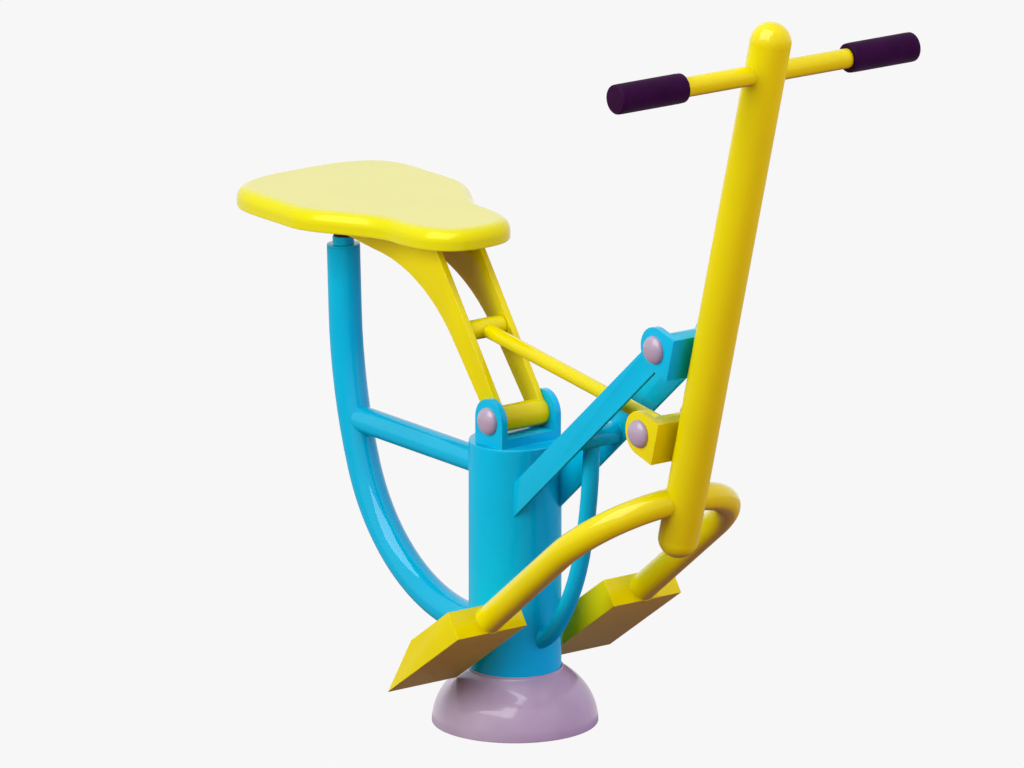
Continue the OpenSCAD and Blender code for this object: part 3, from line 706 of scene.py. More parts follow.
def turned(profile, place, turns=96, loop=False):
    """Surface turned about the place's Z axis, from a profile of (radius, height)."""
    points, rings, faces = [], [], []
    for radius, height in profile:
        count = 1 if radius < 1e-7 else turns
        rings.append(range(len(points), len(points) + count))
        for k in range(count):
            angle = math.tau * k / turns
            points.append(place @ Vector((radius * math.cos(angle), radius * math.sin(angle), height)))
    pairs = list(zip(rings, rings[1:])) + ([(rings[-1], rings[0])] if loop else [])
    for low, high in pairs:
        for k in range(turns):
            j = (k + 1) % turns
            corners = [low[k % len(low)], low[j % len(low)], high[j % len(high)], high[k % len(high)]]
            face = list(dict.fromkeys(corners))
            if len(face) > 2:
                faces.append(face)
    return points, faces


def bridged(rings):
    """Closed surface over rings of equally many points, with a lid at both ends."""
    size = len(rings[0])
    points = [point for ring in rings for point in ring]
    faces = []
    for k in range(len(rings) - 1):
        for i in range(size):
            j = (i + 1) % size
            faces.append([k * size + i, k * size + j, (k + 1) * size + j, (k + 1) * size + i])
    faces.append(list(range(size))[::-1])
    faces.append([(len(rings) - 1) * size + i for i in range(size)])
    return points, faces


def plate(outline, place, low, high, low_edge, high_edge=None, steps=3):
    """Plate over an outline in the place's XZ plane, from low to high along Y, its edges rounded."""
    rows = []
    for edge, y, way in ((low_edge, low, 1), (low_edge if high_edge is None else high_edge, high, -1)):
        angles = quarter(steps) if edge > 0 else [math.pi / 2]
        side = [(edge * (1 - math.sin(a)), y + way * edge * (1 - math.cos(a))) for a in angles]
        rows += side[::way]
    rings = []
    for depth, y in rows:
        line = inset(outline, depth) if depth > 1e-9 else outline
        rings.append([place @ Vector((point.x, y, point.y)) for point in line])
    return bridged(rings)


def bent_path(place, steps, grain=2.5):
    """Places along a bent tube, from steps of (length, 0) or (radius, turn in degrees) that start along
    the place's Z axis and turn towards its X axis."""
    path = [place.copy()]
    for size, turn in steps:
        if turn == 0:
            place = place @ at(0, 0, size)
            path.append(place.copy())
            continue
        count = max(2, math.ceil(turn / grain))
        part = math.radians(turn / count)
        step = at(size * (1 - math.cos(part)), 0, size * math.sin(part))
        for _ in range(count):
            place = place @ step @ leaned(part)
            path.append(place.copy())
    return path


def tube_rings(path, radius, sides=72):
    """Rings of points round the places of a path."""
    angles = [math.tau * k / sides for k in range(sides)]
    ring = [Vector((radius * math.cos(a), radius * math.sin(a), 0)) for a in angles]
    return [[place @ point for point in ring] for place in path]


def meeting(rings, outside):
    """Closed line on a tube where it enters a body; outside is positive outside that body."""
    line = []
    for k in range(len(rings[0])):
        for before, after in zip(rings, rings[1:]):
            free, held = before[k], after[k]
            if outside(free) > 0 >= outside(held):
                for _ in range(24):
                    middle = (free + held) / 2
                    if outside(middle) > 0:
                        free = middle
                    else:
                        held = middle
                line.append(free)
                break
    return line


def off_axis(place, radius):
    """Distance outside a long round bar along the place's Z axis."""
    back = place.inverted()

    def outside(point):
        local = back @ point
        return math.hypot(local.x, local.y) - radius

    return outside


def off_path(path, radius):
    """Distance outside a bent tube."""
    spots = [place.translation for place in path]

    def outside(point):
        best = math.inf
        for a, b in zip(spots, spots[1:]):
            run = b - a
            share = max(0.0, min(1.0, (point - a).dot(run) / run.length_squared))
            best = min(best, (point - a - run * share).length)
        return best - radius

    return outside


# Round bars and weld beads that follow a path, made by Geometry Nodes


def path_tree():
    """Tree that lays a round bar along each line of a mesh; it can swell and shrink like a weld."""
    name = "bar_along_lines"
    if name in bpy.data.node_groups:
        return bpy.data.node_groups[name]
    build = Tree(bpy.data.node_groups.new(name, "GeometryNodeTree"))
    for label, kind in (("Geometry", "Geometry"), ("Radius", "Float"), ("Sides", "Int"),
                        ("Spacing", "Float"), ("Ripple", "Float"), ("Pitch", "Float"),
                        ("Finish", "Material")):
        build.tree.interface.new_socket(label, in_out="INPUT", socket_type="NodeSocket" + kind)
    build.tree.interface.new_socket("Geometry", in_out="OUTPUT", socket_type="NodeSocketGeometry")

    def given(label):
        return build.node("NodeGroupInput", output=label)

    line = build.node("GeometryNodeMeshToCurve", {}, {"Mesh": given("Geometry")})
    finer = build.node(
        "GeometryNodeResampleCurve", {"mode": "LENGTH"}, {"Curve": line, "Length": given("Spacing")})
    rippled = build.node(
        "FunctionNodeCompare", {"data_type": "FLOAT", "operation": "GREATER_THAN"},
        {"A": given("Ripple"), "B": 0.0})
    chosen = build.node(
        "GeometryNodeSwitch", {"input_type": "GEOMETRY"},
        {"Switch": rippled, "False": line, "True": finer})
    along = build.node("GeometryNodeSplineParameter", output="Length")
    wave = along.maths("SINE", along / given("Pitch") * math.tau)
    ring = build.node(
        "GeometryNodeCurvePrimitiveCircle", {},
        {"Resolution": given("Sides"), "Radius": given("Radius")})
    bar = build.node(
        "GeometryNodeCurveToMesh", {},
        {"Curve": chosen, "Profile Curve": ring, "Scale": wave * given("Ripple") + 1.0,
         "Fill Caps": True})
    real = build.node("GeometryNodeRealizeInstances", {}, {"Geometry": bar})
    done = build.node("GeometryNodeSetMaterial", {}, {"Geometry": real, "Material": given("Finish")})
    build.node("NodeGroupOutput", {}, {"Geometry": done})
    return build.tree


def bar_mesh(name, lines, finish, radius, sides, spacing=0.001, ripple=0.0, pitch=0.004):
    """Mesh of round bars along lines of (points, closed)."""
    points, edges = [], []
    for line, closed in lines:
        first = len(points)
        points.extend(line)
        edges.extend((i, i + 1) for i in range(first, len(points) - 1))
        if closed:
            edges.append((len(points) - 1, first))
    draft = bpy.data.meshes.new(name + "_line")
    draft.from_pydata(points, edges, [])
    helper = in_scene(name + "_line", draft)
    modifier = helper.modifiers.new("bar", "NODES")
    modifier.node_group = path_tree()
    values = {"Radius": radius, "Sides": sides, "Spacing": spacing, "Ripple": ripple, "Pitch": pitch,
              "Finish": finish_named(finish)}
    for item in modifier.node_group.interface.items_tree:
        if item.item_type == "SOCKET" and item.in_out == "INPUT" and item.name in values:
            modifier[item.identifier] = values[item.name]
    return settled(applied(name, [helper]), sharp=50)


def tube_piece(name, path, radius, make, nodes, sides=72):
    """Painted tube along a path of places, closed at both ends."""
    line = [place.translation for place in path]
    add_piece(name, bar_mesh(name, [(line, False)], make[1], radius, sides), make, nodes)


WELDS = {}


def weld(make, line, closed=True, size=1.0):
    """Notes a line that a weld bead follows, for the operator that lays the beads."""
    if len(line) > 2:
        WELDS.setdefault((*make, size), []).append((line, closed))


# Operators, one for each piece or group of like pieces


class PieceOperator(bpy.types.Operator):
    """Common part of the operators that make pieces."""

    bl_idname = "rider.piece"
    bl_label = "Piece"
    bl_options = {"INTERNAL"}

    @property
    def sizes(self):
        """The settings of the scene."""
        return bpy.context.scene.rider

    @property
    def off_post(self):
        """Function that gives a point's distance outside the main post."""
        return off_axis(Matrix(), self.sizes.post.diameter / 2)

    @property
    def off_lever(self):
        """Function that gives a point's distance outside the handle post."""
        return off_axis(LEVER_FRAME, self.sizes.lever.diameter / 2)


class RIDER_OT_main_post(PieceOperator):
    """Main post with its welded cap plate"""

    bl_idname = "rider.main_post"
    bl_label = "Main post"

    def execute(self, context):
        size = self.sizes.post
        radius, seam = size.diameter / 2, size.height - size.cap_thickness
        tube = bar_profile(radius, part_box("main_post")[0].z, seam)
        add_shell("post_tube", [turned(tube, Matrix(), turns=160)], BLUE_FRAME, ["main_post"])
        lid = bar_profile(radius, seam, size.height, high_edge=size.edge)
        add_shell("post_lid", [turned(lid, Matrix(), turns=160)], BLUE_FRAME, ["post_cap"])
        return {"FINISHED"}


class RIDER_OT_ground_cover(PieceOperator):
    """Domed cover over the flange, with a neck round the post"""

    bl_idname = "rider.ground_cover"
    bl_label = "Ground cover"

    def dome(self, radius, height, first, last, count):
        """Corners of an elliptic arc between two distances from the axis."""
        return elliptic(
            radius, height, even_steps(math.acos(first / radius), math.acos(last / radius), count))

    def execute(self, context):
        size = self.sizes.post
        outer, wall, rise = size.cover_diameter / 2, size.cover_wall, size.cover_rise
        clearance, rim_edge, fillet, fillet_rise = 0.0003, 0.0002, 0.002, 0.0006
        neck_edge, hole_edge = 0.0009, 0.0006
        hole = size.diameter / 2 + clearance
        neck, top = hole + wall, top_of("ground_cover")
        corners = [(outer - rim_edge, 0, 0)] + self.dome(outer, rise, outer - 1e-6, neck + fillet, 48)
        corners += [(neck, rise * math.sqrt(1 - (neck / outer) ** 2) + fillet_rise, neck_edge),
                    (neck, top, neck_edge), (hole, top, hole_edge)]
        inside = self.dome(outer - wall, rise - wall, hole + 0.001, outer - wall - 1e-6, 32)
        corners += [(hole, inside[0][1] - 0.0004, 0)] + inside + [(outer - wall, 0, 0)]
        add_shell("cover_dome", [turned(eased(corners), Matrix(), turns=192, loop=True)],
                  ("frame", "mauve_plastic"), ["ground_cover"], sharp=40)
        return {"FINISHED"}


class RIDER_OT_rear_support(PieceOperator):
    """Rear support tube with its end plate, stop stub, buffer and brace"""

    bl_idname = "rider.rear_support"
    bl_label = "Rear support"

    def execute(self, context):
        size = self.sizes.frame
        radius = size.rear_diameter / 2
        start = REAR_TOP @ leaned(math.pi - REAR_LEAN) @ Matrix.Scale(-1, 4, (1, 0, 0))
        path = bent_path(start, REAR_RUN)
        tube_piece("rear_tube", path, radius, BLUE_FRAME, ["rear_support_tube"])
        weld(BLUE_FRAME, meeting(tube_rings(path, radius), self.off_post))
        self.end_stop(REAR_TOP @ leaned(-REAR_LEAN), radius)

        brace_radius = size.brace_diameter / 2
        brace = [at(x, 0, BRACE_HEIGHT) @ leaned(math.pi / 2) for x in BRACE_RUN]
        rings = tube_rings(brace, brace_radius)
        tube_piece("rear_brace_tube", brace, brace_radius, BLUE_FRAME, ["rear_brace"])
        weld(BLUE_FRAME, meeting(rings, self.off_post))
        weld(BLUE_FRAME, meeting(rings[::-1], off_path(path, radius)))
        return {"FINISHED"}

    def end_stop(self, place, radius):
        """End plate of the tube, the stub on it, and the buffer that the seat comes down to."""
        lid_top, stub_radius, stub_top = 0.004, 0.0165, 0.016
        puck_radius, puck_top, crown = 0.015, 0.024, 0.03
        lid = bar_profile(radius, 0, lid_top, low_edge=0.0004, high_edge=0.0009)
        add_shell("rear_lid", [turned(lid, place)], BLUE_FRAME, ["rear_tube_cap"])
        stub = bar_profile(stub_radius, lid_top / 2, stub_top, high_edge=0.0007)
        add_shell("rear_stub", [turned(stub, place)], BLUE_FRAME, ["stop_stub"])
        foot = tube_rings([place @ at(0, 0, lid_top)], stub_radius, sides=96)[0]
        weld(BLUE_FRAME, foot, size=STUB_BEAD)
        arch = [(x, puck_top - crown + math.sqrt(crown ** 2 - x ** 2), 0)
                for x in even_steps(puck_radius, 0, 8)]
        rim = (*arch[0][:2], 0.0006)
        puck = eased([(0, stub_top, 0), (puck_radius, stub_top, 0), rim] + arch[1:], False)
        add_shell("rear_buffer", [turned(puck, place)], ("frame", "black_rubber"), ["stop_buffer"])


class RIDER_OT_front_support(PieceOperator):
    """Slim bent tube from the cross tube down to the post, and the cross tube"""

    bl_idname = "rider.front_support"
    bl_label = "Front support"

    def execute(self, context):
        size = self.sizes.frame
        radius, cross = size.front_diameter / 2, size.cross_diameter / 2
        start = at(*(CROSS_PIVOT + FRONT_START)) @ leaned(math.pi + FRONT_LEAN)
        path = [place for place in bent_path(start, FRONT_RUN)
                if self.off_post(place.translation) > -FRONT_INTO_POST]
        tube_piece("front_tube", path, radius, BLUE_FRAME, ["front_support_tube"])
        rings = tube_rings(path, radius)
        weld(BLUE_FRAME, meeting(rings, self.off_post))
        cross_place = at(*CROSS_PIVOT) @ ACROSS
        weld(BLUE_FRAME, meeting(rings[::-1], off_axis(cross_place, cross)))
        half = ARM_INSIDE + 0.0005
        line = [cross_place @ at(0, 0, y) for y in (-half, 0, half)]
        tube_piece("cross_tube", line, cross, BLUE_FRAME, ["arm_cross_tube"])
        ends = [cross_place @ at(0, 0, y) for y in (-ARM_INSIDE, ARM_INSIDE)]
        for ring in tube_rings(ends, cross, sides=96):
            weld(BLUE_FRAME, ring)
        return {"FINISHED"}


class RIDER_OT_arms(PieceOperator):
    """Pair of flat arms from the post to the handle pivot, with the pivot hub"""

    bl_idname = "rider.arms"
    bl_label = "Arms"

    def execute(self, context):
        size = self.sizes.frame
        half = size.arm_height / 2
        place = at(*HANDLE_PIVOT) @ leaned(-ARM_RISE)
        reach = (HANDLE_PIVOT.x - self.sizes.post.diameter / 4) / math.cos(ARM_RISE)
        outside_post, section_edge, touch = 0.25, 0.0005, 62
        tip = math.degrees(math.acos(ARM_END / HUB_CUT))
        outline = [Vector((-reach, -half)), Vector((-ARM_END, -half))]
        outline += arc((0, 0), HUB_CUT, 180 + tip, 180 - tip, 16)
        outline += [Vector((-ARM_END, half)), Vector((-reach, half))]
        for side, name in SIDES:
            low, high = sorted((side * ARM_INSIDE, side * (ARM_INSIDE + size.arm_thickness)))
            add_shell("arm_" + name, [plate(outline, place, low, high, size.plate_edge)], BLUE_FRAME,
                      ["frame_arm_" + name])
            section = eased([(*corner, section_edge) for corner in rectangle((-half, low), (half, high))])
            fine = spread(section, gap=0.0015)
            rings = [[place @ Vector((x, p.y, p.x)) for p in fine] for x in (-outside_post, -reach)]
            weld(BLUE_FRAME, meeting(rings, self.off_post))
            hub_bead(BLUE_FRAME, place, side * ARM_INSIDE, 180 + touch, 180 - touch)
        add_shell("handle_hub", [hub_tube(HANDLE_PIVOT)], BLUE_FRAME, ["upper_pivot_hub"])
        return {"FINISHED"}


def hub_bead(make, place, y, first, last):
    """Fine bead along the side of a plate where it meets its hub, between two angles in degrees."""
    line = [place @ Vector((p.x, y, p.y)) for p in arc((0, 0), HUB_RADIUS, first, last, 30)]
    weld(make, line, closed=False, size=FINE_BEAD)


def hub_tube(point):
    """Pivot hub across the machine, bored for its bolt and bearings."""
    bore, seat, depth, half, edge = 0.0125, 0.015, 0.007, 0.0445, 0.0008
    profile = eased([
        (bore, depth - half, 0), (seat, depth - half, 0), (seat, -half, 0),
        (HUB_RADIUS, -half, edge), (HUB_RADIUS, half, edge), (seat, half, 0),
        (seat, half - depth, 0), (bore, half - depth, 0)])
    return turned(profile, at(*point) @ ACROSS, loop=True)


class RIDER_OT_clevises(PieceOperator):
    """Clevis on the post and the two clevises of the handle post"""

    bl_idname = "rider.clevises"
    bl_label = "Clevises"

    def execute(self, context):
        turn = leaned(-math.pi / 2)
        for name, node, place, make in (
                ("clevis_on_post", "post_clevis", at(*SEAT_PIVOT), BLUE_FRAME),
                ("clevis_upper", "upper_clevis", HANDLE_FRAME @ turn, BLUE_LEVER),
                ("clevis_lower", "lower_clevis", LOWER_FRAME @ turn, YELLOW_LEVER)):
            add_piece(name, self.clevis(name, place), make, [node])
            self.ear_beads(place, make)
        foot = rectangle((-CLEVIS_HALF_LENGTH, -CLEVIS_WIDTH / 2), (CLEVIS_HALF_LENGTH, CLEVIS_WIDTH / 2))
        height = self.sizes.post.height
        weld(BLUE_FRAME, [Vector((p.x + SEAT_PIVOT.x, p.y, height)) for p in spread(foot, gap=0.004)])
        weld(BLUE_LEVER, self.lever_contact(HANDLE_FRAME))
        weld(YELLOW_LEVER, self.lever_contact(LOWER_FRAME))
        return {"FINISHED"}

    def clevis(self, name, place):
        """Two ears on a base plate, pivot at the place's origin and base below it."""
        radius, half = CLEVIS_HALF_LENGTH, CLEVIS_WIDTH / 2
        base = rectangle((-radius, -PIN_HEIGHT), (radius, -PIN_HEIGHT + CLEVIS_BASE))
        ear = base[:2] + arc((0, 0), radius, 0, 180, 40)
        blocks = [(base, -half, half), (ear, half - EAR_THICKNESS, half), (ear, -half, EAR_THICKNESS - half)]
        helpers = []
        for number, (outline, low, high) in enumerate(blocks):
            rings = [[Vector((p.x, y, p.y)) for p in outline] for y in (low, high)]
            mesh = shell(f"{name}_block_{number}", [bridged(rings)])
            helpers.append(in_scene(mesh.name, mesh))
        for other in helpers[1:]:
            fuse = helpers[0].modifiers.new("fuse", "BOOLEAN")
            fuse.operation, fuse.solver, fuse.object = "UNION", "EXACT", other
        rounding = helpers[0].modifiers.new("edges", "BEVEL")
        rounding.width, rounding.segments = self.sizes.frame.plate_edge, 3
        rounding.limit_method, rounding.angle_limit = "ANGLE", math.radians(30)
        mesh = applied(name, helpers)
        mesh.transform(place)
        mesh.materials.clear()
        return settled(mesh, sharp=32)

    def ear_beads(self, place, make):
        """Fillet beads inside a clevis, where its ears stand on its base."""
        y, z, reach = CLEVIS_WIDTH / 2 - EAR_THICKNESS, -PIN_HEIGHT + CLEVIS_BASE, 0.032
        for side in (-1, 1):
            line = [place @ Vector((x, side * y, z)) for x in even_steps(-reach, reach, 4)]
            weld(make, line, closed=False)

    def lever_contact(self, place):
        """Line where a clevis base meets the round handle post."""
        radius = self.sizes.lever.diameter / 2
        half = math.degrees(math.acos((PIVOT_TO_POST - PIN_HEIGHT) / radius))
        line = []
        for side in (1, -1):
            for point in arc((PIVOT_TO_POST, 0), radius, 180 - side * half, 180 + side * half, 16):
                line.append(Vector((*point, side * CLEVIS_HALF_LENGTH)))
        return [place @ point for point in spread(line, gap=0.003)]


class RIDER_OT_axle_caps(PieceOperator):
    """Domed plastic caps over the bolt heads and nuts of the three clevises"""

    bl_idname = "rider.axle_caps"
    bl_label = "Axle caps"

    def execute(self, context):
        radius, rim, rise, inside_radius, inside_rise = 0.021, 0.0009, 0.0131, 0.0195, 0.0125
        outside = [(radius, 0, 0)] + elliptic(radius, rise, quarter(20)[:-1], rim) + [(0, rim + rise, 0)]
        inside = elliptic(inside_radius, inside_rise, quarter(14)[::-1])
        profile = eased(outside, False) + eased(inside, False)
        for name, node, place, body in (
                ("seat_pivot_caps", "seat_axle_caps", at(*SEAT_PIVOT), "frame"),
                ("upper_pivot_caps", "upper_axle_caps", HANDLE_FRAME, "handle"),
                ("lower_pivot_caps", "lower_axle_caps", LOWER_FRAME, "handle")):
            spots = [place @ at(0, side * CLEVIS_WIDTH / 2, 0) @ Matrix.Rotation(-side * math.pi / 2, 4, "X")
                     for side in (-1, 1)]
            add_shell(name, [turned(profile, spot, turns=72, loop=True) for spot in spots],
                      (body, "mauve_plastic"), [node], sharp=60)
        return {"FINISHED"}


class SeatPlate:
    """Side view of a seat plate, measured from the seat pivot."""

    bend = 0.273  # radius of the hollow under the plate's tail
    tail = -0.470
    tail_depth = 0.017

    def __init__(self):
        lean, front_edge, rear_edge, neck, over_hollow = math.radians(35.7), 0.0173, 0.016, 0.0508, 0.035
        out, up = Vector((math.cos(lean), math.sin(lean))), Vector((-math.sin(lean), math.cos(lean)))
        self.up = up
        self.top = top_of("seat_plate_left") - SEAT_PIVOT.z
        self.front = out * front_edge
        self.front_top = self.front + up * ((self.top - self.front.y) / up.y)
        hollow_z = self.top - over_hollow - self.bend
        self.hollow = Vector((-math.sqrt((self.bend + neck) ** 2 - hollow_z ** 2), hollow_z))
        self.rear = Vector((-0.777, -0.63)) * rear_edge
        away = self.rear - self.hollow
        self.meet = math.atan2(away.y, away.x) + math.acos(self.bend / away.length)

    def leaves(self, start, along, radius):
        """Angle in degrees at which a straight line leaves a circle round the pivot."""
        along = along.normalized()
        middle = start.dot(along)
        run = -middle + math.sqrt(middle ** 2 - start.length_squared + radius ** 2)
        point = start + along * run
        return math.degrees(math.atan2(point.y, point.x)) % 360

    def contact(self, radius):
        """Angles between which the plate touches a circle round its pivot."""
        tangent = self.hollow + Vector((math.cos(self.meet), math.sin(self.meet))) * self.bend
        return self.leaves(self.front, self.up, radius), self.leaves(self.rear, tangent - self.rear, radius)

    def outline(self):
        """The plate, cut out round its hub."""
        line = arc((0, 0), HUB_CUT, *self.contact(HUB_CUT), 14)
        line += arc(self.hollow, self.bend, math.degrees(self.meet), 86, 60)
        return line + [Vector((self.tail, self.top - self.tail_depth)), Vector((self.tail, self.top)),
                       self.front_top]


class RIDER_OT_seat_arm(PieceOperator):
    """Two shaped plates with their hub, link pin and cross straps under the seat"""

    bl_idname = "rider.seat_arm"
    bl_label = "Seat arm"

    def execute(self, context):
        place = at(*SEAT_PIVOT)
        view = SeatPlate()
        for side, name in SIDES:
            low, high = sorted((side * SEAT_PLATE_INSIDE, side * SEAT_PLATE_OUTSIDE))
            solid = plate(view.outline(), place, low, high, self.sizes.frame.plate_edge)
            add_shell("seat_side_" + name, [solid], YELLOW_ARM, ["seat_plate_" + name], sharp=28)
            hub_bead(YELLOW_ARM, place, side * SEAT_PLATE_INSIDE, *view.contact(HUB_RADIUS))
        add_shell("seat_arm_hub", [hub_tube(SEAT_PIVOT)], YELLOW_ARM, ["seat_hub"])
        pin_radius, pin_half, pin_edge = 0.008, 0.0434, 0.0008
        pin = bar_profile(pin_radius, -pin_half, pin_half, pin_edge, pin_edge)
        add_shell("link_axle", [turned(pin, at(*LINK_PIVOT) @ ACROSS, turns=72)], ("seat_arm", "steel"),
                  ["link_pin"])
        low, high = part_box("seat_straps")[0].z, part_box("seat_straps")[1].z
        wide, half = 0.02, 0.075
        straps = [plate(rectangle((x - wide, low), (x + wide, high)), Matrix(), -half, half, 0.0008)
                  for x in (-0.1925, -0.3775)]
        add_shell("seat_cross_straps", straps, YELLOW_ARM, ["seat_straps"])
        return {"FINISHED"}


def smooth_step(share):
    """0 to 1 with level ends."""
    share = max(0.0, min(1.0, share))
    return share * share * (3 - 2 * share)


def round_off(share, power):
    """1 falling to 0 along a superellipse."""
    return (1 - max(0.0, min(1.0, share)) ** power) ** (1 / power)


class RIDER_OT_seat(PieceOperator):
    """Moulded seat with a rounded upper edge"""

    bl_idname = "rider.seat"
    bl_label = "Seat"

    def half_width(self, share):
        """Half width of the seat at a share of its length from the nose."""
        size = self.sizes.seat
        widens, widest, nose_end, rear_end = 0.234, 0.579, 0.24, 0.267
        body = size.nose_half + (size.half_width - size.nose_half) * smooth_step(
            (share - widens) / (widest - widens))
        return body * round_off(1 - share / nose_end, 2.5) * round_off(1 - (1 - share) / rear_end, 3)

    def outline(self):
        """The seat from above, from its nose round its left side."""
        size = self.sizes.seat
        shares = [(1 - math.cos(angle)) / 2 for angle in even_steps(0, math.pi, size.steps)]
        left = [Vector((-size.nose - size.length * s, self.half_width(s))) for s in shares]
        return left + [Vector((p.x, -p.y)) for p in left[-2:0:-1]]

    def execute(self, context):
        size = self.sizes.seat
        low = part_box("seat")[0].z
        recess, foot, foot_edge = 0.0012, 0.0030, 0.0012
        rows = [(0.030, recess), (0.012, recess), (0.0085, 0.0), (0.0030, 0.0)]
        rows += [(foot_edge * (1 - math.sin(a)), foot * (1 - math.cos(a))) for a in quarter(5)]
        side_top = size.thickness - size.edge
        rows += [(0.0, 0.0045), (0.0, side_top * 0.7)]
        rows += [(size.edge * (1 - math.cos(a)), side_top + size.edge * math.sin(a)) for a in quarter(22)]
        rows += [(0.026, size.thickness), (0.040, size.thickness)]
        outline = self.outline()
        rings = [[Vector((*point, low + rise)) for point in even_inset(outline, depth)]
                 for depth, rise in rows]
        add_shell("seat_shell", [bridged(rings)], ("seat_arm", "seat_plastic"), ["seat"], sharp=45)
        return {"FINISHED"}


class RIDER_OT_push_rod(PieceOperator):
    """Push rod with its rear sleeve and front hub"""

    bl_idname = "rider.push_rod"
    bl_label = "Push rod"

    def execute(self, context):
        run = LOWER_PIVOT - LINK_PIVOT
        start = at(*LINK_PIVOT) @ leaned(math.pi / 2 + math.atan2(-run.z, run.x))
        first, last = SLEEVE_RADIUS - 0.0009, run.length - HUB_RADIUS + 0.0013
        line = [start @ at(0, 0, z) for z in (first, 0.1, 0.25, last)]
        tube_piece("rod_tube", line, ROD_RADIUS, YELLOW_ROD, ["push_rod"], sides=56)
        rings = tube_rings(line, ROD_RADIUS)
        place = at(*LINK_PIVOT) @ ACROSS
        weld(YELLOW_ROD, meeting(rings, off_axis(at(*LOWER_PIVOT) @ ACROSS, HUB_RADIUS)))
        weld(YELLOW_ROD, meeting(rings[::-1], off_axis(place, SLEEVE_RADIUS)))
        half, edge = 0.033, 0.0007
        sleeve = eased([(SLEEVE_BORE, -half, 0), (SLEEVE_RADIUS, -half, edge),
                        (SLEEVE_RADIUS, half, edge), (SLEEVE_BORE, half, 0)])
        add_shell("rod_sleeve", [turned(sleeve, place, turns=80, loop=True)], YELLOW_ROD,
                  ["rod_rear_sleeve"])
        add_shell("rod_hub", [hub_tube(LOWER_PIVOT)], YELLOW_ROD, ["rod_front_hub"])
        return {"FINISHED"}


class RIDER_OT_handle_post(PieceOperator):
    """Handle post with its two domed ends"""

    bl_idname = "rider.handle_post"
    bl_label = "Handle post"

    def dome(self, height, way):
        """Quarter circle from the pole to the post's side, with a ground weld line at its foot."""
        radius, half_seam, seam_depth = self.sizes.lever.diameter / 2, 0.0012, 0.00022
        arch = [(radius * math.cos(a), height + way * radius * math.sin(a)) for a in quarter(24)[:0:-1]]
        return arch + [(radius, height + way * half_seam), (radius - seam_depth, height),
                       (radius, height - way * half_seam)]

    def execute(self, context):
        size = self.sizes.lever
        profile = self.dome(-size.down, -1) + self.dome(size.up, 1)[::-1]
        add_shell("lever_post", [turned(profile, LEVER_FRAME, turns=128)], YELLOW_LEVER,
                  ["handle_post", "post_top_dome", "post_bottom_dome"], sharp=60)
        return {"FINISHED"}


class RIDER_OT_handlebar(PieceOperator):
    """Handlebar through the top of the handle post"""

    bl_idname = "rider.handlebar"
    bl_label = "Handlebar"

    def execute(self, context):
        size = self.sizes.lever
        radius, half = size.bar_diameter / 2, size.bar_length / 2 - GRIP_WALL
        middle = at(*(LEVER_FRAME @ Vector((0, 0, size.bar_up)))) @ ACROSS
        line = [middle @ at(0, 0, y) for y in (-half, -0.1, 0, 0.1, half)]
        tube_piece("bar_tube", line, radius, YELLOW_LEVER, ["handlebar"])
        rings = tube_rings(line, radius)
        weld(YELLOW_LEVER, meeting(rings[:3], self.off_lever))
        weld(YELLOW_LEVER, meeting(rings[:1:-1], self.off_lever))
        return {"FINISHED"}


class RIDER_OT_grips(PieceOperator):
    """Rubber grips on the handlebar's ends"""

    bl_idname = "rider.grips"
    bl_label = "Grips"

    def execute(self, context):
        size = self.sizes.lever
        outer, inner, long = size.grip_diameter / 2, size.bar_diameter / 2 + 0.0001, size.grip_length
        crown = 0.010
        corners = [(inner, 0, 0.0006), (outer - 0.0005, 0, 0.0022), (outer, crown, 0.004),
                   (outer, long - crown, 0.004), (outer - 0.0003, long, 0.0036), (0, long, 0)]
        profile = eased(corners, closed=False, steps=6)
        profile += [(0, long - GRIP_WALL), (inner, long - GRIP_WALL), (inner, 0.0006)]
        middle = LEVER_FRAME @ at(0, 0, size.bar_up)
        for side, name in SIDES:
            place = middle @ at(0, side * (size.bar_length / 2 - long), 0)
            place = place @ Matrix.Rotation(-side * math.pi / 2, 4, "X")
            add_shell("grip_cover_" + name, [turned(profile, place, loop=True)],
                      ("handle", "grip_rubber"), ["grip_" + name], sharp=50)
        return {"FINISHED"}


def pedal_place(side):
    """Middle of a pedal's front face, X out of that face."""
    return at(PEDAL_FACE.x, side * PEDAL_FACE.y, PEDAL_FACE.z) @ leaned(-PEDAL_SLOPE)


class RIDER_OT_foot_bars(PieceOperator):
    """Bent tubes from the handle post down to the pedals"""

    bl_idname = "rider.foot_bars"
    bl_label = "Foot bars"

    def execute(self, context):
        radius, bend, out = self.sizes.lever.foot_bar_diameter / 2, 0.137, 0.1455
        into_pedal = 0.0045
        root = LEVER_FRAME @ FOOT_ROOT @ leaned(-LEVER_LEAN - FOOT_SLOPE)
        for side, name in SIDES:
            place = root @ Matrix.Scale(side, 4, (0, 1, 0)) @ ACROSS @ Matrix.Scale(-1, 4, (1, 0, 0))
            path = bent_path(place, [(out - bend, 0), (bend, 90)])
            back = pedal_place(side).inverted()
            here, way = path[-1].translation, path[-1].to_3x3() @ Vector((0, 0, 1))
            gap = (back @ here).x / -(back.to_3x3() @ way).x
            path += [path[-1] @ at(0, 0, share * (gap + into_pedal)) for share in (0.5, 1)]
            tube_piece("foot_tube_" + name, path, radius, YELLOW_LEVER, ["foot_bar_" + name])
            rings = tube_rings(path, radius)
            weld(YELLOW_LEVER, meeting(rings[::-1], self.off_lever))
            weld(YELLOW_LEVER, meeting(rings, lambda point: (back @ point).x))
        return {"FINISHED"}


